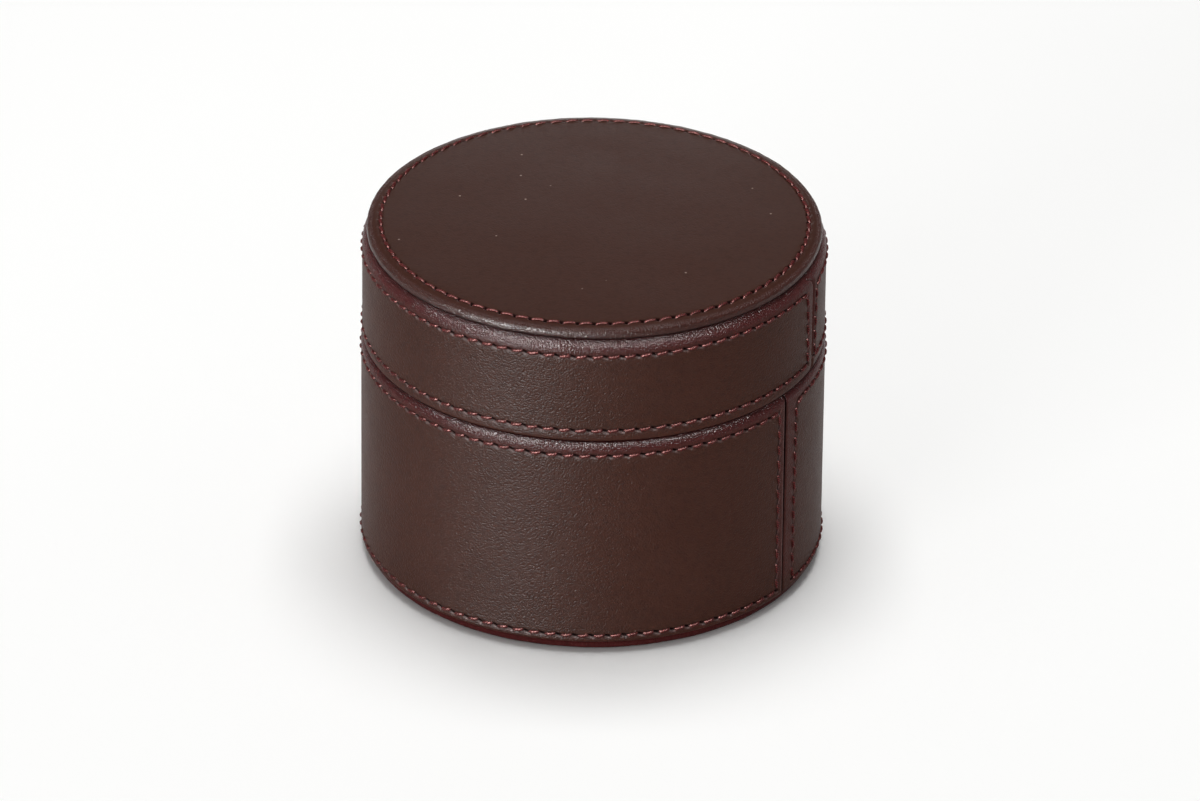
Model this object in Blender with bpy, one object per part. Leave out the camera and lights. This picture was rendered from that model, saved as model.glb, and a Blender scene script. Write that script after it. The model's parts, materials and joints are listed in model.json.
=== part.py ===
"""Round leather jewelry box with a lift-off lid and a lift-out ring tray.

Metres, +Z up. The origin is the centre of the underside. The front of the box
looks along -Y, and an angle is measured about +Z from +X.

The base and the lid are rigid hoops closed by boards. Each is wrapped in one
strip of leather whose ends meet in an upright butt seam, and whose edges are
turned over the hoop. A collar inside the base guides the lid, and a lining
ring inside the collar carries the tray.
"""
import math

import bmesh
import bpy

MM = 0.001

# Outside of the box
BOX_RADIUS = 50.0 * MM           # leather side of the base
BASE_HEIGHT = 51.1 * MM          # underside to the top of the base's rolled edge
LID_HEIGHT = 24.1 * MM           # lower edge of the lid to the top of its shoulder
LID_STEP = 0.2 * MM              # the lid's side stands this far inside the base's side
SEAT_GAP = 0.3 * MM              # between pieces that rest on or are glued to each other

# Leather
LEATHER = 0.9 * MM
TURNED_LEATHER = 0.6 * MM        # pared thinner where it is turned over an edge
BASE_TURN_DEPTH = 7.0 * MM       # how far the turned edge runs down inside the base's hoop
LID_MARGIN = 5.0 * MM            # how far the lid's wrap runs in under the top panel
EDGE_ROUNDING = 0.6 * MM         # straight turned lower edges
SEAM_WIDTH = 0.5 * MM            # open joint between the two ends of a wrap
SEAM_ROUNDING = 0.3 * MM
BASE_SEAM_ANGLE = math.radians(-33.5)
LID_SEAM_ANGLE = math.radians(-20.2)

# Hoops and boards
BASE_HOOP_WALL = 3.0 * MM
HOOP_ROUNDING = 1.0 * MM         # gives the base's rolled edge its shape
FLOOR_BOARD = 2.5 * MM
LID_BOARD = 3.0 * MM
SHOULDER_ROUNDING = 2.4 * MM     # rounded rim of the lid's board

# Panels glued outside
BOTTOM_PANEL_INSET = 1.2 * MM    # from the base's side in to the panel's edge
BOTTOM_PANEL_HEIGHT = 1.9 * MM
TOP_PANEL_INSET = 1.0 * MM       # from the lid's side in to the panel's edge
TOP_PANEL_HEIGHT = 2.1 * MM      # at its edge
TOP_PANEL_CROWN = 0.9 * MM       # padding lifts the middle this much more

# Collar and linings
COLLAR_WALL = 1.2 * MM
COLLAR_RISE = 7.5 * MM           # stands this far above the base's rolled edge
COLLAR_CLEARANCE = 0.45 * MM     # running clearance between the collar and the lid
COLLAR_HEADROOM = 0.6 * MM       # above the collar to the lid's lining
SUEDE = 0.6 * MM
FLOOR_PAD = 2.2 * MM
PAD_ROUNDING = 0.8 * MM
LEDGE_WALL = 2.0 * MM            # ring that lines the lower compartment and carries the tray
COMPARTMENT_DEPTH = 28.0 * MM
LID_LINING = 1.4 * MM
CEILING_PAD = 2.0 * MM

# Tray
TRAY_CLEARANCE = 0.5 * MM
TRAY_HEIGHT = 19.0 * MM
TRAY_WALL = 1.4 * MM
TRAY_BOARD = 1.5 * MM
TRAY_PAD = 1.2 * MM
DIVIDER_WALL = 2.0 * MM
DIVIDER_DROP = 2.5 * MM          # below the tray's rim
DIVIDER_ROUNDING = 0.7 * MM
ROLL_COUNT = 4
ROLL_HEIGHT = 12.5 * MM
ROLL_SLOT = 0.4 * MM             # slit between two ring rolls
ROLL_BACK_SPACE = 2.2 * MM       # behind the last roll, where the tray's wall curves away
ROLL_END_ROUNDING = 2.4 * MM
ROLL_DRAW_IN = 0.25 * MM         # each side is drawn in this much at the roll's foot
ROLL_SWELL_HEIGHT = 5.0 * MM     # height at which a roll is widest
TAB_WIDTH = 10.0 * MM
TAB_THICKNESS = 1.4 * MM
TAB_RISE = 5.5 * MM              # above the tray's rim

# Facets
SEGMENTS = 48                    # round a full turn
CORNER_STEPS = 2
SHOULDER_STEPS = 4
CROWN_STEPS = 4
ROLL_TOP_STEPS = 6
MIN_STEP_SHARE = 0.25            # least share of a segment left beside a seam
AXIS_RADIUS = 0.01 * MM          # a point nearer the axis than this lies on it
SMOOTH_ANGLE = math.radians(35)  # facets that meet at less are shaded as one surface

# Radii of the base, from its side inwards
BASE_HOOP_OUTER = BOX_RADIUS - LEATHER - SEAT_GAP
BASE_HOOP_INNER = BASE_HOOP_OUTER - BASE_HOOP_WALL
BASE_TURN_OUTER = BASE_HOOP_INNER - SEAT_GAP
BASE_TURN_INNER = BASE_TURN_OUTER - TURNED_LEATHER
COLLAR_OUTER = BASE_TURN_INNER - SEAT_GAP
COLLAR_INNER = COLLAR_OUTER - COLLAR_WALL
COLLAR_LINING_OUTER = COLLAR_INNER - SEAT_GAP
COLLAR_LINING_INNER = COLLAR_LINING_OUTER - SUEDE
LEDGE_OUTER = COLLAR_LINING_INNER - SEAT_GAP
LEDGE_INNER = LEDGE_OUTER - LEDGE_WALL
BOTTOM_PANEL_RADIUS = BOX_RADIUS - BOTTOM_PANEL_INSET

# Radii of the tray
TRAY_OUTER = COLLAR_LINING_INNER - TRAY_CLEARANCE
TRAY_WALL_OUTER = TRAY_OUTER - SUEDE - SEAT_GAP
TRAY_WALL_INNER = TRAY_WALL_OUTER - TRAY_WALL
TRAY_INNER = TRAY_WALL_INNER - SEAT_GAP - SUEDE

# Radii of the lid, its inside worked out from the collar
LID_RADIUS = BOX_RADIUS - LID_STEP
LID_HOOP_OUTER = LID_RADIUS - LEATHER - SEAT_GAP
LID_TURN_INNER = COLLAR_OUTER + COLLAR_CLEARANCE
LID_TURN_OUTER = LID_TURN_INNER + TURNED_LEATHER
LID_HOOP_INNER = LID_TURN_OUTER + SEAT_GAP
LID_LINING_OUTER = LID_HOOP_INNER - SEAT_GAP
LID_LINING_INNER = LID_LINING_OUTER - LID_LINING
TOP_PANEL_RADIUS = LID_RADIUS - TOP_PANEL_INSET

# Heights of the base
BASE_FOOT = BOTTOM_PANEL_HEIGHT + SEAT_GAP
BASE_HOOP_FOOT = BASE_FOOT + TURNED_LEATHER + SEAT_GAP
BASE_HOOP_TOP = BASE_HEIGHT - LEATHER - SEAT_GAP
FLOOR_TOP = BASE_FOOT + FLOOR_BOARD
COLLAR_FOOT = FLOOR_TOP + SEAT_GAP
COLLAR_TOP = BASE_HEIGHT + COLLAR_RISE
FLOOR_PAD_TOP = COLLAR_FOOT + FLOOR_PAD
LEDGE_FOOT = FLOOR_PAD_TOP + SEAT_GAP
LEDGE_TOP = LEDGE_FOOT + COMPARTMENT_DEPTH

# Heights of the tray
TRAY_FOOT = LEDGE_TOP + SEAT_GAP
TRAY_TOP = TRAY_FOOT + TRAY_HEIGHT
TRAY_INSIDE_FOOT = TRAY_FOOT + TRAY_BOARD + SEAT_GAP
TRAY_PAD_TOP = TRAY_INSIDE_FOOT + TRAY_PAD
TRAY_CONTENTS_FOOT = TRAY_PAD_TOP + SEAT_GAP

# Heights of the lid
LID_FOOT = BASE_HEIGHT + SEAT_GAP
LID_TOP = LID_FOOT + LID_HEIGHT
LID_HOOP_FOOT = LID_FOOT + TURNED_LEATHER + SEAT_GAP
LID_BOARD_TOP = LID_TOP - LEATHER - SEAT_GAP
LID_BOARD_FOOT = LID_BOARD_TOP - LID_BOARD
LID_HOOP_TOP = LID_BOARD_FOOT - SEAT_GAP
LID_LINING_FOOT = COLLAR_TOP + COLLAR_HEADROOM
LID_TURN_TOP = LID_LINING_FOOT - SEAT_GAP
CEILING_PAD_FOOT = LID_HOOP_TOP - CEILING_PAD
TOP_PANEL_FOOT = LID_TOP + SEAT_GAP
TOP_PANEL_EDGE = TOP_PANEL_FOOT + TOP_PANEL_HEIGHT

# Places inside the tray
DIVIDER_HALF = DIVIDER_WALL / 2
DIVIDER_TOP = TRAY_TOP - DIVIDER_DROP
TAB_OUTER_FACE = math.sqrt(TRAY_INNER**2 - (TAB_WIDTH / 2) ** 2) - SEAT_GAP
TAB_INNER_FACE = TAB_OUTER_FACE - TAB_THICKNESS
ROLL_FIELD_START = DIVIDER_HALF + SEAT_GAP
ROLL_PITCH = (TRAY_INNER - ROLL_BACK_SPACE - ROLL_FIELD_START) / ROLL_COUNT
ROLL_WIDTH = ROLL_PITCH - ROLL_SLOT

# Colours, as 8-bit values, and roughness
LEATHER_COLOUR = (72, 50, 43)
LEATHER_ROUGHNESS = 0.45
SUEDE_COLOUR = (150, 116, 88)
SUEDE_ROUGHNESS = 0.95
FIBREBOARD_COLOUR = (170, 138, 102)
GREYBOARD_COLOUR = (141, 134, 124)
BOARD_ROUGHNESS = 0.85


def clear_scene():
    for thing in list(bpy.data.objects):
        bpy.data.objects.remove(thing, do_unlink=True)


def linear(value):
    """One 8-bit colour value as the linear value a shader takes."""
    share = value / 255
    return share / 12.92 if share <= 0.04045 else ((share + 0.055) / 1.055) ** 2.4


def make_material(name, colour, roughness):
    material = bpy.data.materials.new(name)
    material.use_nodes = True
    shader = material.node_tree.nodes["Principled BSDF"]
    shader.inputs["Base Color"].default_value = (*[linear(value) for value in colour], 1.0)
    shader.inputs["Roughness"].default_value = roughness
    shader.inputs["Metallic"].default_value = 0.0
    return material


def make_empty(name, height):
    """An empty on the box's axis, which carries one body of the box."""
    empty = bpy.data.objects.new(name, None)
    empty.location = (0.0, 0.0, height)
    bpy.context.collection.objects.link(empty)
    return empty


def arc(centre_r, centre_z, radius, start, end, steps):
    """Points of an arc in the plane of an outline, with its angles in degrees."""
    points = []
    for step in range(steps + 1):
        angle = math.radians(start + (end - start) * step / steps)
        points.append((centre_r + radius * math.cos(angle), centre_z + radius * math.sin(angle)))
    return points


def finish(name, mesh, material, body):
    """Turn a bmesh with world heights into an object that hangs on a body's empty."""
    bmesh.ops.recalc_face_normals(mesh, faces=mesh.faces)
    for vert in mesh.verts:
        vert.co.z -= body.location.z
    data = bpy.data.meshes.new(name)
    mesh.to_mesh(data)
    mesh.free()
    data.shade_smooth()
    data.set_sharp_from_angle(angle=SMOOTH_ANGLE)
    data.materials.append(material)
    piece = bpy.data.objects.new(name, data)
    piece.parent = body
    bpy.context.collection.objects.link(piece)
    return piece


def full_turn():
    return [2 * math.pi * step / SEGMENTS for step in range(SEGMENTS)]


def open_turn(seam_angle, radius):
    """Angles from one side of a seam round to its other side, on the full turn's facets."""
    half_gap = SEAM_WIDTH / 2 / radius
    step = 2 * math.pi / SEGMENTS
    start = seam_angle + half_gap
    end = seam_angle + 2 * math.pi - half_gap
    margin = MIN_STEP_SHARE * step
    first = math.ceil((start + margin) / step)
    last = math.floor((end - margin) / step)
    return [start] + [step * index for index in range(first, last + 1)] + [end]


def turn(outline, angles, closed):
    """Sweep a closed outline of (radius, height) points about Z into a bmesh."""
    mesh = bmesh.new()
    columns = []
    for radius, height in outline:
        if radius < AXIS_RADIUS:
            centre = mesh.verts.new((0.0, 0.0, height))
            columns.append([centre] * len(angles))
        else:
            column = [
                mesh.verts.new((radius * math.cos(angle), radius * math.sin(angle), height))
                for angle in angles
            ]
            columns.append(column)
    spans = len(angles) if closed else len(angles) - 1
    for index, lower in enumerate(columns):
        upper = columns[(index + 1) % len(columns)]
        for span in range(spans):
            after = (span + 1) % len(angles)
            corners = [lower[span], lower[after], upper[after], upper[span]]
            unlike = list(dict.fromkeys(corners))
            if len(unlike) > 2:
                mesh.faces.new(unlike)
    if not closed:
        mesh.faces.new([column[0] for column in columns])
        mesh.faces.new([column[-1] for column in columns])
    return mesh


def turned_piece(name, outline, material, body):
    return finish(name, turn(outline, full_turn(), True), material, body)


def wrapped_piece(name, outline, outside_points, seam_angle, radius, material, body):
    """Leather wrapped round a hoop: its two ends meet in a seam, rounded on the outside."""
    angles = open_turn(seam_angle, radius)
    mesh = turn(outline, angles, False)
    mesh.verts.ensure_lookup_table()
    ends = (0, len(angles) - 1)
    seam_edges = []
    for index in range(outside_points - 1):
        for end in ends:
            first = mesh.verts[index * len(angles) + end]
            second = mesh.verts[(index + 1) * len(angles) + end]
            edge = next(edge for edge in first.link_edges if edge.other_vert(first) == second)
            seam_edges.append(edge)
    bmesh.ops.bevel(mesh, geom=seam_edges, offset=SEAM_ROUNDING, segments=1, affect="EDGES")
    return finish(name, mesh, material, body)


def box_outline(inner, outer, foot, top):
    return [(inner, foot), (outer, foot), (outer, top), (inner, top)]


def crowned_disc(radius, edge_height, crown):
    """Points over a padded top, from its rim in to its centre."""
    points = []
    for step in range(1, CROWN_STEPS + 1):
        share = 1 - step / CROWN_STEPS
        points.append((radius * share, edge_height + crown * (1 - share**2)))
    return points


# Base


def build_bottom_panel(leather, board, body):
    """A thin board wrapped in leather, on which the box stands."""
    top = BOTTOM_PANEL_HEIGHT
    rim = [(0.0, 0.0)]
    rim += arc(BOTTOM_PANEL_RADIUS - EDGE_ROUNDING, EDGE_ROUNDING, EDGE_ROUNDING, -90, 0, CORNER_STEPS)
    rim += arc(BOTTOM_PANEL_RADIUS - EDGE_ROUNDING, top - EDGE_ROUNDING, EDGE_ROUNDING, 0, 90, CORNER_STEPS)
    inside = BOTTOM_PANEL_RADIUS - LEATHER
    rim += [(inside, top), (inside, TURNED_LEATHER), (0.0, TURNED_LEATHER)]
    turned_piece("bottom_panel_leather", rim, leather, body)
    card = box_outline(0.0, inside - SEAT_GAP, TURNED_LEATHER + SEAT_GAP, top)
    turned_piece("bottom_panel_board", card, board, body)


def build_base_hoop(board, body):
    outline = [(BASE_HOOP_INNER, BASE_HOOP_FOOT), (BASE_HOOP_OUTER, BASE_HOOP_FOOT)]
    centre_z = BASE_HOOP_TOP - HOOP_ROUNDING
    outline += arc(BASE_HOOP_OUTER - HOOP_ROUNDING, centre_z, HOOP_ROUNDING, 0, 90, CORNER_STEPS)
    outline += arc(BASE_HOOP_INNER + HOOP_ROUNDING, centre_z, HOOP_ROUNDING, 90, 180, CORNER_STEPS)
    turned_piece("base_hoop", outline, board, body)


def build_base_wrap(leather, body):
    """Leather side of the base, rolled over the hoop's top and turned under its foot."""
    centre_z = BASE_HOOP_TOP - HOOP_ROUNDING
    outer_centre = BASE_HOOP_OUTER - HOOP_ROUNDING
    inner_centre = BASE_HOOP_INNER + HOOP_ROUNDING
    inside = HOOP_ROUNDING + SEAT_GAP
    foot_centre = BASE_FOOT + EDGE_ROUNDING
    outline = [(BASE_HOOP_INNER, BASE_FOOT)]
    outline += arc(BOX_RADIUS - EDGE_ROUNDING, foot_centre, EDGE_ROUNDING, -90, 0, CORNER_STEPS)
    outline += arc(outer_centre, centre_z, inside + LEATHER, 0, 90, SHOULDER_STEPS)
    outline += arc(inner_centre, centre_z, inside + TURNED_LEATHER, 90, 180, CORNER_STEPS)
    outline.append((BASE_TURN_INNER, BASE_HEIGHT - BASE_TURN_DEPTH))
    outside_points = len(outline)
    outline.append((BASE_TURN_OUTER, BASE_HEIGHT - BASE_TURN_DEPTH))
    outline += arc(inner_centre, centre_z, inside, 180, 90, CORNER_STEPS)
    outline += arc(outer_centre, centre_z, inside, 90, 0, CORNER_STEPS)
    outline.append((BASE_HOOP_OUTER + SEAT_GAP, BASE_HOOP_FOOT - SEAT_GAP))
    outline.append((BASE_HOOP_INNER, BASE_HOOP_FOOT - SEAT_GAP))
    wrapped_piece(
        "base_band_leather", outline, outside_points, BASE_SEAM_ANGLE, BOX_RADIUS, leather, body
    )


def build_base_floor(board, suede, body):
    disc = box_outline(0.0, BASE_HOOP_INNER - SEAT_GAP, BASE_FOOT, FLOOR_TOP)
    turned_piece("base_floor_board", disc, board, body)
    pad = [(0.0, COLLAR_FOOT), (LEDGE_OUTER, COLLAR_FOOT)]
    pad += arc(
        LEDGE_OUTER - PAD_ROUNDING, FLOOR_PAD_TOP - PAD_ROUNDING, PAD_ROUNDING, 0, 90, CORNER_STEPS
    )
    pad.append((0.0, FLOOR_PAD_TOP))
    turned_piece("base_floor_pad", pad, suede, body)


def build_collar(card, suede, body):
    """The card ring that guides the lid, and its suede, turned over the top."""
    card_top = COLLAR_TOP - SUEDE - SEAT_GAP
    ring = box_outline(COLLAR_INNER, COLLAR_OUTER, COLLAR_FOOT, card_top)
    turned_piece("collar", ring, card, body)
    outline = [(COLLAR_LINING_INNER, COLLAR_FOOT), (COLLAR_LINING_OUTER, COLLAR_FOOT)]
    outline += [(COLLAR_LINING_OUTER, card_top + SEAT_GAP), (COLLAR_OUTER, card_top + SEAT_GAP)]
    outline += arc(COLLAR_OUTER - SUEDE, COLLAR_TOP - SUEDE, SUEDE, 0, 90, CORNER_STEPS)
    outline += arc(COLLAR_LINING_INNER + SUEDE, COLLAR_TOP - SUEDE, SUEDE, 90, 180, CORNER_STEPS)
    turned_piece("collar_lining", outline, suede, body)


def build_compartment_lining(suede, body):
    """Padded ring that lines the lower compartment and carries the tray on its top."""
    outline = [(LEDGE_INNER, LEDGE_FOOT), (LEDGE_OUTER, LEDGE_FOOT), (LEDGE_OUTER, LEDGE_TOP)]
    outline += arc(
        LEDGE_INNER + PAD_ROUNDING, LEDGE_TOP - PAD_ROUNDING, PAD_ROUNDING, 90, 180, CORNER_STEPS
    )
    turned_piece("compartment_lining", outline, suede, body)


# Lid


def build_lid_core(board, body):
    hoop = box_outline(LID_HOOP_INNER, LID_HOOP_OUTER, LID_HOOP_FOOT, LID_HOOP_TOP)
    turned_piece("lid_hoop", hoop, board, body)
    disc = [(0.0, LID_BOARD_FOOT), (LID_HOOP_OUTER, LID_BOARD_FOOT)]
    disc += arc(
        LID_HOOP_OUTER - SHOULDER_ROUNDING,
        LID_BOARD_TOP - SHOULDER_ROUNDING,
        SHOULDER_ROUNDING,
        0,
        90,
        SHOULDER_STEPS,
    )
    disc.append((0.0, LID_BOARD_TOP))
    turned_piece("lid_cover_board", disc, board, body)


def build_lid_wrap(leather, body):
    """Leather side of the lid, turned in at its lower edge and drawn over the shoulder."""
    foot_centre = LID_FOOT + EDGE_ROUNDING
    shoulder_r = LID_HOOP_OUTER - SHOULDER_ROUNDING
    shoulder_z = LID_BOARD_TOP - SHOULDER_ROUNDING
    inside = SHOULDER_ROUNDING + SEAT_GAP
    margin = shoulder_r - LID_MARGIN
    outline = [(LID_TURN_INNER, LID_TURN_TOP)]
    outline += arc(LID_TURN_INNER + EDGE_ROUNDING, foot_centre, EDGE_ROUNDING, 180, 270, CORNER_STEPS)
    outline += arc(LID_RADIUS - EDGE_ROUNDING, foot_centre, EDGE_ROUNDING, -90, 0, CORNER_STEPS)
    outline += arc(shoulder_r, shoulder_z, inside + LEATHER, 0, 90, SHOULDER_STEPS)
    outline.append((margin, LID_TOP))
    outside_points = len(outline)
    outline.append((margin, LID_BOARD_TOP + SEAT_GAP))
    outline += arc(shoulder_r, shoulder_z, inside, 90, 0, SHOULDER_STEPS)
    outline.append((LID_HOOP_OUTER + SEAT_GAP, LID_FOOT + TURNED_LEATHER))
    outline.append((LID_TURN_OUTER, LID_FOOT + TURNED_LEATHER))
    outline.append((LID_TURN_OUTER, LID_TURN_TOP))
    wrapped_piece(
        "lid_band_leather", outline, outside_points, LID_SEAM_ANGLE, LID_RADIUS, leather, body
    )


def build_top_panel(leather, board, body):
    """Padded board under one round of leather, turned down over a rounded rim."""
    rounding = TOP_PANEL_HEIGHT / 2
    rim_r = TOP_PANEL_RADIUS - rounding
    inside = TOP_PANEL_RADIUS - LEATHER
    underside = TOP_PANEL_EDGE - LEATHER
    outline = [(inside, TOP_PANEL_FOOT)]
    outline += arc(rim_r, TOP_PANEL_FOOT + rounding, rounding, -90, 90, 2 * CORNER_STEPS)
    outline += crowned_disc(rim_r, TOP_PANEL_EDGE, TOP_PANEL_CROWN)
    under = [(inside, underside)] + crowned_disc(inside, underside, TOP_PANEL_CROWN)
    outline += reversed(under)
    turned_piece("lid_top_leather", outline, leather, body)
    pad_radius = inside - SEAT_GAP
    pad = [(0.0, TOP_PANEL_FOOT), (pad_radius, TOP_PANEL_FOOT)]
    pad.append((pad_radius, underside - SEAT_GAP))
    pad += crowned_disc(pad_radius, underside - SEAT_GAP, TOP_PANEL_CROWN)
    turned_piece("lid_top_pad", pad, board, body)


def build_lid_lining(suede, body):
    ring = box_outline(LID_LINING_INNER, LID_LINING_OUTER, LID_LINING_FOOT, LID_HOOP_TOP)
    turned_piece("lid_wall_lining", ring, suede, body)
    radius = LID_LINING_INNER - SEAT_GAP
    pad = [(0.0, CEILING_PAD_FOOT)]
    pad += arc(
        radius - PAD_ROUNDING, CEILING_PAD_FOOT + PAD_ROUNDING, PAD_ROUNDING, -90, 0, CORNER_STEPS
    )
    pad += [(radius, LID_HOOP_TOP), (0.0, LID_HOOP_TOP)]
    turned_piece("lid_ceiling_pad", pad, suede, body)


# Tray


def build_tray_shell(card, suede, body):
    disc = box_outline(0.0, TRAY_WALL_OUTER, TRAY_FOOT, TRAY_FOOT + TRAY_BOARD)
    turned_piece("tray_floor_board", disc, card, body)
    wall_top = TRAY_TOP - SUEDE - SEAT_GAP
    ring = box_outline(TRAY_WALL_INNER, TRAY_WALL_OUTER, TRAY_INSIDE_FOOT, wall_top)
    turned_piece("tray_wall", ring, card, body)
    rounding = SUEDE + SEAT_GAP
    cover = [(TRAY_OUTER - SUEDE, TRAY_FOOT), (TRAY_OUTER, TRAY_FOOT)]
    cover += arc(TRAY_OUTER - rounding, TRAY_TOP - rounding, rounding, 0, 90, CORNER_STEPS)
    cover += arc(TRAY_INNER + rounding, TRAY_TOP - rounding, rounding, 90, 180, CORNER_STEPS)
    cover += [(TRAY_INNER, TRAY_INSIDE_FOOT), (TRAY_INNER + SUEDE, TRAY_INSIDE_FOOT)]
    cover += [(TRAY_INNER + SUEDE, wall_top + SEAT_GAP), (TRAY_OUTER - SUEDE, wall_top + SEAT_GAP)]
    turned_piece("tray_wall_cover", cover, suede, body)
    pad = box_outline(0.0, TRAY_INNER - SEAT_GAP, TRAY_INSIDE_FOOT, TRAY_PAD_TOP)
    turned_piece("tray_floor_pad", pad, suede, body)


def rounded_block(name, low, high, rounding, material, body):
    """A block with its two long upper edges rounded, along its longer side."""
    mesh = bmesh.new()
    bmesh.ops.create_cube(mesh, size=1.0)
    for vert in mesh.verts:
        for axis in range(3):
            vert.co[axis] = low[axis] if vert.co[axis] < 0 else high[axis]
    run = 0 if high[0] - low[0] > high[1] - low[1] else 1
    edges = [
        edge
        for edge in mesh.edges
        if min(vert.co.z for vert in edge.verts) > (low[2] + high[2]) / 2
        and abs(edge.verts[0].co[run] - edge.verts[1].co[run]) > rounding
    ]
    bmesh.ops.bevel(mesh, geom=edges, offset=rounding, segments=CORNER_STEPS, profile=0.5, affect="EDGES")
    return finish(name, mesh, material, body)


def build_dividers(suede, body):
    """One divider across the tray, and one from its middle to the front wall."""
    reach = TAB_INNER_FACE - SEAT_GAP
    low = (-reach, -DIVIDER_HALF, TRAY_CONTENTS_FOOT)
    high = (reach, DIVIDER_HALF, DIVIDER_TOP)
    rounded_block("tray_divider", low, high, DIVIDER_ROUNDING, suede, body)
    front = math.sqrt(TRAY_INNER**2 - DIVIDER_HALF**2) - SEAT_GAP
    low = (-DIVIDER_HALF, -front, TRAY_CONTENTS_FOOT)
    high = (DIVIDER_HALF, -DIVIDER_HALF - SEAT_GAP, DIVIDER_TOP)
    rounded_block("tray_cross_divider", low, high, DIVIDER_ROUNDING, suede, body)


def roll_section(width, height, foot):
    """Cross-section of a ring roll: flat where it rests, drawn in below, round on top."""
    half = width / 2
    foot_half = half - ROLL_DRAW_IN
    section = [(-foot_half, foot), (foot_half, foot), (half, foot + ROLL_SWELL_HEIGHT)]
    section += arc(0.0, foot + height - half, half, 0, 180, ROLL_TOP_STEPS)
    section.append((-half, foot + ROLL_SWELL_HEIGHT))
    return section


def build_ring_roll(number, suede, body):
    """A foam roll across the tray, with ends rounded to the curve of the wall."""
    centre_y = ROLL_FIELD_START + ROLL_PITCH * (number - 1) + ROLL_WIDTH / 2
    far_side = centre_y + ROLL_WIDTH / 2
    chord = math.sqrt(TRAY_INNER**2 - far_side**2)
    half_length = min(chord, TAB_INNER_FACE) - SEAT_GAP
    stations = []
    for step in range(CORNER_STEPS + 1):
        angle = math.radians(90 - 90 * step / CORNER_STEPS)
        inset = ROLL_END_ROUNDING * (1 - math.cos(angle)) / 2
        along = half_length - ROLL_END_ROUNDING * (1 - math.sin(angle))
        stations.append((along, inset))
    stations = [(-along, inset) for along, inset in stations] + list(reversed(stations))
    mesh = bmesh.new()
    loops = []
    for along, inset in stations:
        section = roll_section(ROLL_WIDTH - 2 * inset, ROLL_HEIGHT - inset, TRAY_CONTENTS_FOOT)
        loops.append([mesh.verts.new((along, centre_y + across, height)) for across, height in section])
    for before, after in zip(loops, loops[1:]):
        for index, vert in enumerate(before):
            following = (index + 1) % len(before)
            mesh.faces.new([vert, before[following], after[following], after[index]])
    mesh.faces.new(loops[0])
    mesh.faces.new(loops[-1])
    finish(f"ring_roll_{number}", mesh, suede, body)


def build_pull_tab(name, side, leather, body):
    """A folded leather strap that stands up between the divider's end and the wall."""
    half = TAB_THICKNESS / 2
    middle = (TAB_INNER_FACE + TAB_OUTER_FACE) / 2
    top = TRAY_TOP + TAB_RISE
    outline = [(middle - half, TRAY_CONTENTS_FOOT), (middle + half, TRAY_CONTENTS_FOOT)]
    outline += arc(middle, top - half, half, 0, 180, 2 * CORNER_STEPS)
    mesh = bmesh.new()
    face = mesh.faces.new([mesh.verts.new((side * x, -TAB_WIDTH / 2, z)) for x, z in outline])
    swept = bmesh.ops.extrude_face_region(mesh, geom=[face])
    moved = [item for item in swept["geom"] if isinstance(item, bmesh.types.BMVert)]
    bmesh.ops.translate(mesh, verts=moved, vec=(0.0, TAB_WIDTH, 0.0))
    finish(name, mesh, leather, body)


def main():
    clear_scene()
    leather = make_material("leather", LEATHER_COLOUR, LEATHER_ROUGHNESS)
    suede = make_material("suede", SUEDE_COLOUR, SUEDE_ROUGHNESS)
    fibreboard = make_material("fibreboard", FIBREBOARD_COLOUR, BOARD_ROUGHNESS)
    greyboard = make_material("greyboard", GREYBOARD_COLOUR, BOARD_ROUGHNESS)

    base = make_empty("base_axis", 0.0)
    build_bottom_panel(leather, greyboard, base)
    build_base_hoop(fibreboard, base)
    build_base_wrap(leather, base)
    build_base_floor(fibreboard, suede, base)
    build_collar(greyboard, suede, base)
    build_compartment_lining(suede, base)

    lid = make_empty("lid_lift_axis", LID_FOOT)
    build_lid_core(fibreboard, lid)
    build_lid_wrap(leather, lid)
    build_top_panel(leather, greyboard, lid)
    build_lid_lining(suede, lid)

    tray = make_empty("tray_lift_axis", TRAY_FOOT)
    build_tray_shell(greyboard, suede, tray)
    build_dividers(suede, tray)
    for number in range(1, ROLL_COUNT + 1):
        build_ring_roll(number, suede, tray)
    build_pull_tab("pull_tab_left", -1, leather, tray)
    build_pull_tab("pull_tab_right", 1, leather, tray)


main()
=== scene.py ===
"""Looks of the round leather jewelry box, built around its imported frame."""
import json
import math

import bpy
import numpy as np
from mathutils import Matrix, Vector, noise

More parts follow.
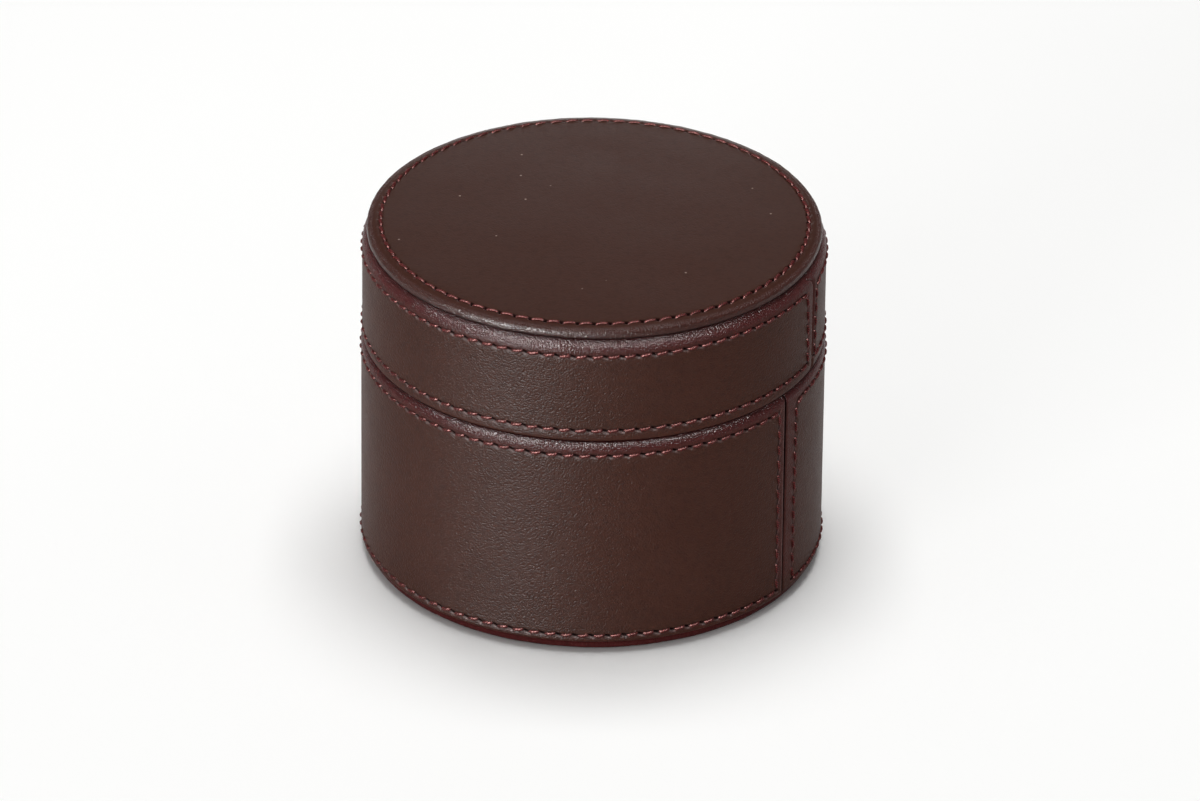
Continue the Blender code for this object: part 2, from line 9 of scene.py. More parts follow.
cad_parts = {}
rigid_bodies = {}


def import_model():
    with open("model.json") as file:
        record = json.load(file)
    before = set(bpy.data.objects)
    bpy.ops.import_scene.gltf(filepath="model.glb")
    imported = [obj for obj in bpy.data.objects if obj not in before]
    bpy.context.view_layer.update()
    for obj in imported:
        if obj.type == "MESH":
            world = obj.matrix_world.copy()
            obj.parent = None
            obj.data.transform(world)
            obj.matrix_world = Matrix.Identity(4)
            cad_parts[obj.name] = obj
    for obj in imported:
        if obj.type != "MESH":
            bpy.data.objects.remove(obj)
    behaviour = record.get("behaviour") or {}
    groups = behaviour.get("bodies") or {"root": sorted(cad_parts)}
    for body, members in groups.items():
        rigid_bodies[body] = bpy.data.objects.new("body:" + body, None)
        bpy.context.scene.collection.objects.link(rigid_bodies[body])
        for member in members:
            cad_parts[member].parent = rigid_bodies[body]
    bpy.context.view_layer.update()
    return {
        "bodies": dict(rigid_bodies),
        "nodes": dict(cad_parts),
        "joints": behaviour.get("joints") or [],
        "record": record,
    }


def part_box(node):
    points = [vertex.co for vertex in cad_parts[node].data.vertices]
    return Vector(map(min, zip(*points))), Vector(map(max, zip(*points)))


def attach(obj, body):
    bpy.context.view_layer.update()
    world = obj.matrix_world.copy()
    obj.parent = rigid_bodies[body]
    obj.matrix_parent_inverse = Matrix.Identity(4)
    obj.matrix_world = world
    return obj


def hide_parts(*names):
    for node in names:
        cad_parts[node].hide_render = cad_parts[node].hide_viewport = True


MM = 0.001

# Camera, as measured on the photograph
IMAGE_WIDTH = 1200
FOCAL_PIXELS = 10599
SENSOR_WIDTH = 36.0
CAMERA_PLACE = Vector((-3.6, -2000.0, 1153.2)) * MM
CAMERA_PITCH = math.radians(29.241)
CAMERA_YAW = math.radians(0.149)
CAMERA_ROLL = math.radians(0.683)

# Stage
AIM_HEIGHT = 45 * MM
FLOOR_LEVEL = -0.2 * MM

# Leather of the two sides. Heights and widths along the leather are u (round the box) and s (up it)
LEATHER = 0.68 * MM
EDGE_ROUNDING = 0.7 * MM
INNER_ROUNDING = 0.9 * MM
BASE_INSIDE = 44.95 * MM
LID_INSIDE = 45.1 * MM
BASE_SHOULDER = 2.2 * MM
LID_SHOULDER = 3.6 * MM
FULLNESS = 2.3
BASE_SEAM = math.radians(-34.45)
LID_SEAM = math.radians(-20.2)
BASE_GAP = 0.6 * MM
LID_GAP = 0.06 * MM
SEAM_FOLD = 0.5 * MM
LAP_UNDER = 3.6 * MM
LAP_DEPTH = 0.8 * MM
LAP_RAMP = 1.5 * MM
LID_CORNER_LOW = 2.0 * MM
LID_CORNER_HIGH = 3.0 * MM
MARGIN_PUFF = 0.04 * MM

# Stitching
BASE_PITCH = 3.54 * MM
LID_PITCH = 3.45 * MM
TOP_PITCH = 3.42 * MM
BASE_ROWS = (3.95 * MM, 47.95 * MM)
LID_ROWS = (54.0 * MM, 71.8 * MM)
TOP_ROW = 45.9 * MM
BASE_RIGHT = (3.9 * MM, 0.5 * MM, 1.2 * MM)
BASE_LEFT = (2.3 * MM, 0.0, 0.0)
LID_RIGHT = (1.8 * MM, 0.9 * MM, 1.4 * MM)
LID_LEFT = (2.6 * MM, 0.8 * MM, 0.7 * MM)
THREAD = 0.31 * MM
THREAD_RISE = 0.1 * MM
THREAD_DIVE = 0.55 * MM
THREAD_SIDES = 12
THREAD_RINGS = 30
THREAD_STRANDS = 0.24
PLY_SPACING = 0.6 * MM
PLIES = 3
STITCH_LEAN = 0.19 * MM
CHANNEL_DEPTH = 0.06 * MM
CHANNEL_WIDTH = 0.5 * MM
GROOVE_SHADE = 0.6
SLIT_DEPTH = 0.46 * MM
SLIT_LENGTH = 0.72 * MM
SLIT_STEEP = 0.24 * MM
SLIT_EASY = 0.42 * MM
SLIT_LEAN = math.radians(-19)
SLIT_LIP = 0.06 * MM
STITCH_PHASES = (0.0, 0.03, 0.07, 0.12, 0.18, 0.3, 0.5, 0.7, 0.82, 0.88, 0.93, 0.97)

# Soft pieces are swollen by a short cloth simulation, run enlarged to the size of a cushion
SOFT_SCALE = 20.0
SOFT_FRAMES = 20

# Top panel. RIM_ROWS is how many rows of its section lie under its rim and round its bead
RIM_BEAD = 0.75 * MM
RIM_DROOP = 0.5 * MM
RIM_ROWS = 19
TOP_SINK = 0.09 * MM
PANEL_SHOULDER = 77.85 * MM


def linear(colour):
    """An 8-bit colour as linear values, with alpha."""
    shares = [value / 255 for value in colour]
    return (*[c / 12.92 if c <= 0.04045 else ((c + 0.055) / 1.055) ** 2.4 for c in shares], 1.0)


# Meshes


def arc(centre_r, centre_z, radius, start, end, steps):
    """(r, z, normal r, normal z) along an arc, its angles in degrees, without its first point."""
    points = []
    for step in range(1, steps + 1):
        angle = math.radians(start + (end - start) * step / steps)
        normal = (math.cos(angle), math.sin(angle))
        points.append((centre_r + radius * normal[0], centre_z + radius * normal[1], *normal))
    return points


def full_corner(centre_r, centre_z, radius, power, steps):
    """Like arc from 0 to 90 degrees, but fuller than a circle where power is over 2."""
    points = []
    for step in range(1, steps + 1):
        angle = math.radians(90 * step / steps)
        r, z = max(math.cos(angle), 0.0) ** (2 / power), math.sin(angle) ** (2 / power)
        slope = math.hypot(r ** (power - 1), z ** (power - 1))
        normal = (r ** (power - 1) / slope, z ** (power - 1) / slope)
        points.append((centre_r + radius * r, centre_z + radius * z, *normal))
    return points


def straight(start, end, normal, steps, first=False):
    """(r, z, normal r, normal z) along a line, without its first point unless asked."""
    points = []
    for step in range(0 if first else 1, steps + 1):
        t = step / steps
        points.append((start[0] + (end[0] - start[0]) * t, start[1] + (end[1] - start[1]) * t, *normal))
    return points


def line_to(points, goal, normal, steps):
    """Goes on from the last point along a line."""
    points += straight(points[-1][:2], goal, normal, steps)


def make_object(name, vertices, faces, material, attributes=None):
    mesh = bpy.data.meshes.new(name)
    mesh.from_pydata([tuple(vertex) for vertex in vertices], [], faces)
    mesh.update()
    for key, values in (attributes or {}).items():
        layer = mesh.attributes.new(key, "FLOAT", "POINT")
        layer.data.foreach_set("value", np.asarray(values, dtype=np.float32))
    mesh.shade_smooth()
    mesh.materials.append(material)
    piece = bpy.data.objects.new(name, mesh)
    bpy.context.collection.objects.link(piece)
    return piece


def tube(rings, count, base=0):
    """Faces of a closed tube of rings of count points, with both its ends."""
    last = base + (rings - 1) * count
    faces = []
    for start in range(base, last, count):
        for k in range(count):
            a, b = start + k, start + (k + 1) % count
            faces.append((a, a + count, b + count, b))
    return [*faces, tuple(range(base, base + count)), tuple(reversed(range(last, last + count)))]


def grid_points(section, depth, angle, kept):
    """Numbers the kept points of a grid that lies depth under a turned section, and gives their places."""
    r, z, nr, nz = (values[:, None] for values in section)
    radial = r - depth * nr
    places = np.stack((radial * np.cos(angle), radial * np.sin(angle), z - depth * nz), axis=-1)
    return np.where(kept, np.cumsum(kept).reshape(kept.shape) - 1, -1), places[kept]


def mask_values(kept, extra, **masks):
    """Each mask at the kept points of a grid, and 0 at the extra points after them."""
    spread = {key: np.broadcast_to(mask, kept.shape)[kept] for key, mask in masks.items()}
    return {key: np.append(mask, np.zeros(extra)) for key, mask in spread.items()}


def lattice(start, end, pitch):
    """Places of the holes of a row of stitches."""
    count = max(1, round((end - start) / pitch))
    return start + (end - start) / count * np.arange(count + 1)


def phased(holes):
    """A set of places that is finer near each hole."""
    step = holes[1] - holes[0]
    return [hole + step * phase for hole in holes[:-1] for phase in STITCH_PHASES] + [holes[-1]]


def beside(place, sign, steps=(0.11, 0.22, 0.36, 0.52, 0.75, 1.1)):
    return [place + sign * step * MM for step in steps]


def smooth(x, low, high):
    t = np.clip((x - low) / (high - low), 0.0, 1.0)
    return t * t * (3 - 2 * t)


def bell(x, width, power=2):
    return np.exp(-((x / width) ** power))


def press_slits(depth, dark, wear_and_highlight, u, s, holes):
    """Adds slanted stitch holes, painted with shade inside and with a highlight at their lower lip. A hole is
    (u, s, heading).
    """
    reach = 1.6 * MM
    for hole_u, hole_s, heading in holes:
        c0, c1 = np.searchsorted(u, (hole_u - reach, hole_u + reach))
        r0, r1 = np.searchsorted(s, (hole_s - reach, hole_s + reach))
        if c0 == c1 or r0 == r1:
            continue
        du, ds = u[c0:c1] - hole_u, s[r0:r1, None] - hole_s
        turn = heading + SLIT_LEAN
        along = du * math.cos(turn) + ds * math.sin(turn)
        across = -du * math.sin(turn) + ds * math.cos(turn)
        inside = bell(along, SLIT_LENGTH, 4)
        slope = bell(across, np.where(across > 0, SLIT_STEEP, SLIT_EASY))
        lip = bell(along, 1.5 * SLIT_LENGTH) * bell(across, 2 * SLIT_EASY)
        # shade marks where the inside of a hole is painted dark as shade; lit marks where its lower lip is
        # painted light as a highlight
        shade = inside * bell(across - 0.08 * MM, 0.4 * MM)
        lit = bell(along - 0.05 * MM, 1.1 * SLIT_LENGTH, 4) * bell(across + 0.42 * MM, 0.14 * MM)
        here = np.s_[r0:r1, c0:c1]
        depth[here] += (SLIT_DEPTH + SLIT_LIP) * inside * slope - SLIT_LIP * lip
        dark[here] = np.maximum(dark[here], smooth(shade, 0.25, 0.6))
        wear_and_highlight[here] = np.maximum(wear_and_highlight[here], lit)


def crease(u, s, size_u, size_s, seed):
    """Ridged noise for creased leather, from about -1 to 1."""
    return 1 - abs(noise.noise(Vector((u / size_u, s / size_s, seed)))) * 3.2


# A side is a grid of columns round the box and rows along its section


class Band:
    """Leather wrapped once round a hoop, with one closed line of stitches on its outside."""

    def __init__(self, name, box, shoulder, seam, rows, right, left, pitch, gap, lap, before, after):
        self.name, self.shoulder, self.seam, self.rows = name, shoulder, seam, rows
        self.radius, self.foot, self.top = box[1].x, box[0].z, box[1].z
        self.right, self.left, self.gap, self.lap = right, left, gap, lap
        self.before, self.after = before, after
        self.length = 2 * math.pi * self.radius
        self.wall_top = self.top - shoulder
        self.row_holes = lattice(self.low_u(rows[0]), self.high_u(rows[0]), pitch)
        self.right_holes = lattice(rows[0], rows[1] - right[2], pitch)
        self.left_holes = lattice(rows[0], rows[1] - left[2], pitch)

    def share(self, s):
        return np.clip((s - self.rows[0]) / (self.rows[1] - self.rows[0]), 0, 1)

    def low_u(self, s):
        return self.right[0] + self.right[1] * self.share(s) ** 2

    def high_u(self, s):
        return self.length - self.left[0] - self.left[1] * self.share(s) ** 3

    def theta(self, u):
        return self.seam + u / self.radius

    def section(self):
        """Rows of the outer face as (r, z, nr, nz, dense), from the inside round the foot and up."""
        near = [z for row in self.rows for sign in (-1, 1) for z in beside(row, sign)]
        wall = np.linspace(self.rows[0] + 1.8 * MM, self.rows[1] - 1.8 * MM, 8)
        keep = {round(float(z), 6) for z in (*self.rows, *near, *wall)}
        fine = {round(float(z), 6) for z in phased(self.right_holes) + phased(self.left_holes)}
        low = self.foot + EDGE_ROUNDING
        heights = [z for z in sorted(fine | keep) if low + 0.05 * MM < z < self.wall_top - 0.05 * MM]
        points = [(*p, False) for p in self.before]
        edge = self.radius - EDGE_ROUNDING
        points += [(*p, False) for p in arc(edge, low, EDGE_ROUNDING, -90, 0, 5)]
        last = low
        for z in heights:
            if z in keep or z - last > 0.04 * MM:
                points.append((self.radius, z, 1, 0, z not in keep))
                last = z
        points.append((self.radius, self.wall_top, 1, 0, False))
        steps = max(8, round(self.shoulder * math.pi / 2 / (0.27 * MM)))
        corner = full_corner(self.radius - self.shoulder, self.wall_top, self.shoulder, FULLNESS, steps)
        points += [(*p, False) for p in corner]
        return points + [(*p, False) for p in self.after]

    def columns(self):
        """Places round the band and whether each is in the zone of the seam, where rows are dense."""
        fold = [d * MM for d in (0.0, 0.03, 0.08, 0.16, 0.27, 0.4, 0.55, 0.75, 1.0)]
        low, high = self.row_holes[0], self.row_holes[-1]
        if self.lap:
            start = list(np.linspace(-LAP_UNDER, low - 1.3 * MM, round((LAP_UNDER + low) / (0.26 * MM))))
        else:
            start = [self.gap / 2 + d for d in fold]
            start += list(np.linspace(start[-1] + 0.25 * MM, low - 1.3 * MM, 4))
        start += sorted(beside(low, -1))
        end = beside(high, 1) + [self.length - self.gap / 2 - d for d in fold]
        places = np.array(sorted([*start, *phased(self.row_holes), *end]))
        places = places[np.concatenate(([True], np.diff(places) > 0.01 * MM))]
        reach = 1.8 * MM
        zone = (places < low + self.right[1] + reach) | (places > high - self.left[1] - reach)
        return places, zone

    def hole_path(self):
        """The holes as (u, s, heading) in the order of sewing: foot, left column, top, right column."""
        across, up = 0.0, math.pi / 2
        s0, s1 = self.rows
        path = [(u, s0, across) for u in self.row_holes]
        path += [(self.high_u(s), s, up) for s in self.left_holes[1:]]
        low, high = self.low_u(s1) + 1.3 * self.right[2], self.high_u(s1) - 1.3 * self.left[2]
        inner = [u for u in self.row_holes[::-1] if low - 0.3 * MM < u < high + 0.3 * MM]
        if self.left[2] == 0 and abs(inner[0] - high) < 0.4 * MM:
            inner = inner[1:]
        path += [(u, s1, across) for u in inner]
        path += [(self.low_u(s), s, up) for s in self.right_holes[::-1]]
        return path[:-1]

    def thread_rows(self):
        """Stitches between neighbouring holes, each sewn to the right or upwards."""
        path = self.hole_path()
        stitches = []
        for (u0, s0, _), (u1, s1, _) in zip(path, path[1:] + path[:1]):
            if abs(u1 - u0) > self.length / 2:
                continue
            forward = u1 > u0 + 0.5 * MM or (abs(u1 - u0) <= 0.5 * MM and s1 > s0)
            stitches.append((u0, s0, u1, s1) if forward else (u1, s1, u0, s0))
        return stitches

    def place(self, u, s, height):
        """A point at a place on the wall's developed face, and the normal there."""
        a = self.theta(u)
        normal = Vector((math.cos(a), math.sin(a), 0.0))
        return Vector((0, 0, s)) + normal * (self.radius + height), normal

    def retreat(self, s):
        """How far the left end of a lapped band draws back, which rounds its corners."""
        if not self.lap:
            return np.zeros_like(s)
        low = np.clip((s - self.foot) / LID_CORNER_LOW, 0, 1)
        high = np.clip((self.rows[1] + 2.4 * MM - s) / LID_CORNER_HIGH, 0, 1)
        back = LID_CORNER_LOW * (1 - np.sqrt(1 - (1 - low) ** 2))
        return back + LID_CORNER_HIGH * (1 - np.sqrt(1 - (1 - high) ** 2))

    @staticmethod
    def fold(end):
        """How far the leather turns in near its end."""
        near = np.clip(SEAM_FOLD - end, 0, SEAM_FOLD)
        return SEAM_FOLD - np.sqrt(SEAM_FOLD**2 - near**2)

    def depths(self, u, s):
        """How deep each point of the grid lies under the plain section, and the masks of the shader."""
        depth, dark, wear_and_highlight = np.zeros((3, len(s), len(u)))
        press_slits(depth, dark, wear_and_highlight, u, s, self.hole_path())
        (s0, s1), up = self.rows, s[:, None]
        corner = 1.1 * MM
        du = np.maximum(self.low_u(up) - u, u - self.high_u(up)) + corner
        ds = np.maximum(s0 - up, up - s1) + corner
        box = np.minimum(np.maximum(du, ds), 0) + np.hypot(np.maximum(du, 0), np.maximum(ds, 0)) - corner
        depth += CHANNEL_DEPTH * bell(box, CHANNEL_WIDTH) - MARGIN_PUFF * smooth(box, 0.4 * MM, 1.2 * MM)
        dark = np.maximum(dark, GROOVE_SHADE * bell(box, 0.4 * MM))
        closing = 1 - smooth(up, s1 + 1.4 * MM, s1 + 2.5 * MM)
        retreat = self.retreat(up)
        left_end = self.length - self.gap / 2 - u
        fold, lapped = self.fold(left_end), np.zeros_like(depth)
        if self.lap:
            ramp = 1 - smooth(u + retreat, 0.1 * MM, LAP_RAMP)
            lapped = LAP_DEPTH * ramp * (0.15 + 0.85 * closing) * (u < self.length / 2)
        else:
            fold += self.fold(u - self.gap / 2)
            # Painted shade along the folds of the open seam
            dark = np.maximum(dark, smooth(fold, 0.1 * MM, 0.34 * MM) * closing)
        depth += fold * closing + lapped
        # Painted highlight along the folded left end of the seam
        wear_and_highlight = np.maximum(wear_and_highlight, bell(left_end - 0.34 * MM, 0.13 * MM) * closing)
        edge = smooth(box, -0.35 * MM, 0.5 * MM) * (0.2 + 0.8 * smooth(up, s0, s0 + 4 * MM))
        rim = smooth(s, s1 + 0.6 * MM, s1 + 2.0 * MM)
        for i in np.flatnonzero(rim > 0):
            for j in range(len(u)):
                wrinkle = crease(u[j] + 0.6 * s[i], s[i], 1.3 * MM, 0.45 * MM, 1.0)
                wrinkle += 0.8 * crease(u[j] - 0.8 * s[i], s[i], 0.7 * MM, 0.34 * MM, 5.0)
                depth[i, j] += rim[i] * 0.013 * MM * wrinkle
        waves = [noise.noise(Vector((math.cos(a) * 2.4, math.sin(a) * 2.4, 3.0))) for a in self.theta(u)]
        depth += 0.05 * MM * np.array(waves)
        return depth, lapped, edge, rim[:, None], dark, wear_and_highlight, retreat

    def build(self, material):
        *section, dense = (np.array(values) for values in zip(*self.section()))
        r, z, nr, nz = section
        u, zone = self.columns()
        on_wall = np.flatnonzero((nr > 0.999) & (np.abs(r - self.radius) < 0.001 * MM))
        first, last = on_wall[0], on_wall[-1]
        steps = np.hypot(np.diff(r), np.diff(z))
        s = z.copy()
        s[last + 1:] = s[last] + np.cumsum(steps[last:])
        s[:first] = s[first] - np.cumsum(steps[:first][::-1])[::-1]
        depth, lapped, edge, rim, dark, wear_and_highlight, retreat = self.depths(u, s)
        turned = np.degrees(np.arctan2(nz, nr))[:, None]
        # Painted shade where the leather turns in over the top and under the foot
        dark = np.maximum(dark, 0.5 * (smooth(turned, 52, 72) + smooth(-turned, 35, 75)))
        left_end = self.length - self.gap / 2 - u
        pull = np.clip(1 - left_end / (8 * MM), 0, 1) ** 2 * (u > self.length / 2)
        angle = self.theta(u) - retreat * pull / self.radius
        if not self.lap:
            shut = self.gap / 2 * (0.75 - 0.75 * smooth(s[:, None], 12 * MM, 42 * MM))
            inward = np.clip(1 - left_end / (2 * MM), 0, 1) ** 2 - np.clip(1 - u / (2 * MM), 0, 1) ** 2
            angle = angle + shut * inward / self.radius
        below = np.where(lapped > 0.02 * MM, np.maximum(LEATHER, lapped + 0.3 * MM), LEATHER)
        kept = ~dense[:, None] | zone
        index, vertices = grid_points(section, depth, angle, kept)
        coarse = [i for i in range(len(s)) if not dense[i]]
        under = [i for n, i in enumerate(coarse) if n % 5 == 0 or n == len(coarse) - 1]
        covered = np.zeros_like(kept)
        covered[under] = True
        inner, hidden = grid_points(section, below, angle, covered)
        inner += len(vertices)
        masks = mask_values(kept, len(hidden), edge=edge, rim=rim, hole=dark, lip=wear_and_highlight)
        # Painted shade on the hidden inner face
        masks["hole"][len(vertices):] = 0.9
        faces = self.skin(index, inner, coarse, under, zone)
        return make_object(self.name, [*vertices, *hidden], faces, material, masks)

    @staticmethod
    def skin(index, inner, coarse, under, zone):
        """Faces of the outside, the inside and the edges between them."""
        rows, columns = index.shape
        faces = []
        for j in range(columns - 1):
            if zone[j] and zone[j + 1]:
                for i in range(rows - 1):
                    faces.append((index[i, j], index[i, j + 1], index[i + 1, j + 1], index[i + 1, j]))
            else:
                for a, b in zip(coarse, coarse[1:]):
                    left = range(a, b + 1) if zone[j] else (a, b)
                    right = range(a, b + 1) if zone[j + 1] else (a, b)
                    loop = [index[i, j + 1] for i in right] + [index[i, j] for i in reversed(left)]
                    faces.append(tuple(loop))
            for a, b in zip(under, under[1:]):
                faces.append((inner[a, j], inner[b, j], inner[b, j + 1], inner[a, j + 1]))
            a, b = under[0], under[-1]
            faces.append((index[0, j + 1], index[0, j], inner[a, j], inner[a, j + 1]))
            faces.append((index[rows - 1, j], index[rows - 1, j + 1], inner[b, j + 1], inner[b, j]))
        for j, flip in ((0, False), (columns - 1, True)):
            for a, b in zip(under, under[1:]):
                loop = [index[i, j] for i in range(a, b + 1)] + [inner[b, j], inner[a, j]]
                faces.append(tuple(reversed(loop)) if flip else tuple(loop))
        return faces


class TopPanel:
    """Padded leather round with a rolled rim and a ring of stitches."""

    def __init__(self, box):
        self.radius, self.foot, self.peak = box[1].x, box[0].z, box[1].z
        self.count = round(2 * math.pi * TOP_ROW / TOP_PITCH)
        self.flat = self.radius - RIM_BEAD
        self.rim_top = self.foot + 2 * RIM_BEAD

    def surface(self, r):
        """Height of the padded field, which falls away outside its stitches."""
        field = PANEL_SHOULDER + (self.peak - PANEL_SHOULDER) * (1 - (r / TOP_ROW) ** 2)
        if r <= TOP_ROW:
            return field
        t = (r - TOP_ROW) / (self.flat - TOP_ROW)
        return PANEL_SHOULDER + (self.rim_top - PANEL_SHOULDER) * (0.55 * t + 0.45 * t**2)

    def place(self, u, r, height):
        a = u / TOP_ROW
        level = self.surface(r) + height - TOP_SINK
        return Vector((r * math.cos(a), r * math.sin(a), level)), Vector((0, 0, 1))

    def thread_rows(self):
        step = 2 * math.pi * TOP_ROW / self.count
        return [(k * step, TOP_ROW, (k + 1) * step, TOP_ROW) for k in range(self.count)]

    def section(self):
        """Rows as (r, z, nr, nz, sparse), from under the rim to the centre."""
        flat = self.flat
        under = straight((flat - 1.5 * MM, self.foot), (flat, self.foot), (0, -1), 2, True)
        rows = [(*p, False) for p in under]
        for r, z, nr, nz in arc(flat, self.foot + RIM_BEAD, RIM_BEAD, -90, 75, 16):
            below = max(-nz, 0.0)
            rows.append((r + 0.12 * MM * below * nr, z - RIM_DROOP * below**0.6, nr, nz, False))
        last = rows[-1][0]
        radii = [flat - step * MM for step in (0.1, 0.3, 0.5, 0.7, 0.9)]
        radii += [TOP_ROW, *beside(TOP_ROW, 1), *beside(TOP_ROW, -1)]
        radii = [x for x in sorted(radii, reverse=True) if x < last - 0.05 * MM]
        rows += [(x, self.surface(x), 0, 1, False) for x in radii]
        rows += [(x * MM, self.surface(x * MM), 0, 1, False) for x in (44.2, 43.4)]
        return rows + [(x * MM, self.surface(x * MM), 0, 1, True) for x in range(42, 0, -2)]

    def build(self, material):
        *section, sparse = (np.array(values) for values in zip(*self.section()))
        r, z, nr, nz = section
        step = 2 * math.pi / self.count
        phases = [(k, phase) for k in range(self.count) for phase in STITCH_PHASES]
        columns = np.array([(k + phase) * step for k, phase in phases])
        few = [j for j, (_, phase) in enumerate(phases) if phase in (0.0, 0.5)]
        u = columns * TOP_ROW
        steps = np.hypot(np.diff(r), np.diff(z))
        s = np.append(np.cumsum(steps[::-1])[::-1], 0.0)
        s += TOP_ROW - np.interp(-TOP_ROW, -r[RIM_ROWS:], s[RIM_ROWS:])
        depth, dark, wear_and_highlight = np.zeros((3, len(r), len(u)))
        slits = [(k * step * TOP_ROW, -TOP_ROW, 0.0) for k in range(self.count + 1)]
        press_slits(depth, dark, wear_and_highlight, u, -s, slits)
        # Painted shade under the rim's bead, where the normal turns downward
        dark = np.maximum(dark, smooth(-np.degrees(np.arctan2(nz, nr)), 15, 50)[:, None])
        away = s[:, None] - TOP_ROW
        depth += 1.2 * CHANNEL_DEPTH * bell(away, 1.3 * CHANNEL_WIDTH)
        dark = np.maximum(dark, 0.8 * GROOVE_SHADE * bell(away, 0.4 * MM))
        rim = smooth(s, TOP_ROW + 1.3 * MM, TOP_ROW + 2.3 * MM)
        edge = smooth(s, TOP_ROW - 0.3 * MM, TOP_ROW + 0.5 * MM)
        kept = np.repeat(~sparse[:, None], len(u), axis=1)
        kept[:, few] = True
        for i, j in np.argwhere(kept):
            x, y = r[i] * math.cos(columns[j]), r[i] * math.sin(columns[j])
            depth[i, j] += 0.11 * MM * noise.noise(Vector((x, y, 0.0)) / (19 * MM))
            if rim[i] > 0:
                depth[i, j] += rim[i] * 0.022 * MM * crease(u[j], s[i], 1.4 * MM, 0.4 * MM, 9.0)
                depth[i, j] += rim[i] * 0.07 * MM * noise.noise(Vector((x, y, 4.0)) / (3 * MM))
        index, vertices = grid_points(section, depth, columns, kept)
        # The lip mask carries the painted highlight at the holes' lower lips
        masks = mask_values(kept, 1, edge=0.2 * edge[:, None], rim=rim[:, None], hole=dark, lip=0.3 * wear_and_highlight)
        masks["calm"] = np.ones(len(vertices) + 1)
        faces = []
        for i in range(len(r) - 1):
            if not sparse[i + 1]:
                for j in range(len(u)):
                    k = (j + 1) % len(u)
                    faces.append((index[i, j], index[i, k], index[i + 1, k], index[i + 1, j]))
                continue
            for j, k in zip(few, few[1:] + few[:1]):
                span = [j, k] if sparse[i] else [(j + m) % len(u) for m in range((k - j) % len(u) + 1)]
                faces.append((*index[i, span], index[i + 1, k], index[i + 1, j]))
        faces += [(index[-1, j], index[-1, k], len(vertices)) for j, k in zip(few, few[1:] + few[:1])]
        faces.append(tuple(index[0, ::-1]))
        return make_object("top_panel", [*vertices, (0, 0, self.surface(0))], faces, material, masks)


def stitch_curve(surface, u0, s0, u1, s1, sense, inset):
    """Points and normals along one stitch on a surface, its ends diving into their holes."""
    length = math.hypot(u1 - u0, s1 - s0)
    du, ds = (u1 - u0) / length, (s1 - s0) / length
    points, normals = [], []
    for step in range(THREAD_RINGS):
        t = step / (THREAD_RINGS - 1)
        along = length * (inset + (1 - 2 * inset) * t)
        aside = STITCH_LEAN * (2 * t - 1) * sense
        high = THREAD_RISE - (THREAD_RISE + THREAD_DIVE) * abs(2 * t - 1) ** 3.4
        place, normal = surface.place(u0 + du * along - ds * aside, s0 + ds * along + du * aside, high)
        points.append(place)
        normals.append(normal)
    return points, normals


def stitching(name, curves, material):
    """Twisted thread along each stitch."""
    vertices, faces, lengths, turns, ends = [], [], [], [], []
    run = 0.0
    for points, normals in curves:
        count = len(points)
        faces += tube(count, THREAD_SIDES, len(vertices))
        for step, (place, normal) in enumerate(zip(points, normals)):
            before, after = points[max(step - 1, 0)], points[min(step + 1, count - 1)]
            tangent = (after - before).normalized()
            side = tangent.cross(normal).normalized()
            up = side.cross(tangent).normalized()
            run += (place - before).length
            sunk = smooth(abs(2 * step / (count - 1) - 1), 0.74, 0.9)
            for k in range(THREAD_SIDES):
                a = 2 * math.pi * (k + 0.5) / THREAD_SIDES
                ply = math.sin(2 * math.pi * run / PLY_SPACING + PLIES * a)
                width = THREAD * (1 + THREAD_STRANDS * ply) * (1 - 0.35 * sunk)
                vertices.append(place - (up * math.cos(a) * 0.9 + side * math.sin(a)) * width)
                ends.append(sunk)
                lengths.append(run / PLY_SPACING)
                turns.append(PLIES * a / (2 * math.pi))
    return make_object(name, vertices, faces, material, {"run": lengths, "turn": turns, "sunk": ends})


# Turned, swept and plate-like pieces


def ring_outline(low_r, high_r, low_z, high_z, rounding, step):
    """Closed outline of a ring's section, anticlockwise from its foot."""
    corners = (
        (high_r - rounding, low_z + rounding, -90), (high_r - rounding, high_z - rounding, 0),
        (low_r + rounding, high_z - rounding, 90), (low_r + rounding, low_z + rounding, 180),
    )
    points = []
    for n, (r, z, angle) in enumerate(corners):
        points += arc(r, z, rounding, angle, angle + 90, 5)
        following = corners[(n + 1) % 4]
        turn, last = math.radians(following[2]), points[-1]
        goal = (following[0] + rounding * math.cos(turn), following[1] + rounding * math.sin(turn))
        reach = math.hypot(goal[0] - last[0], goal[1] - last[1])
        line_to(points, goal, last[2:], max(2, round(reach / step)))
    return points


def disc_outline(high_r, low_z, high_z, rounding, step):
    """Outline of a round pad from the middle of its foot to the middle of its top."""
    edge = high_r - rounding
    count = max(4, round(edge / step))
    points = [(edge * k / count, low_z, 0, -1) for k in range(count + 1)]
    points += arc(edge, low_z + rounding, rounding, -90, 0, 5)
    line_to(points, (high_r, high_z - rounding), (1, 0), 2)
    points += arc(edge, high_z - rounding, rounding, 0, 90, 6)
    return points + [(edge * k / count, high_z, 0, 1) for k in range(count - 1, -1, -1)]


def puff(size, amount, seed):
    """Soft unevenness of padding, as a relief over a turned or swept piece."""
    def relief(point):
        return amount * noise.noise(point / size + Vector((seed, 0, 0)))

    return relief


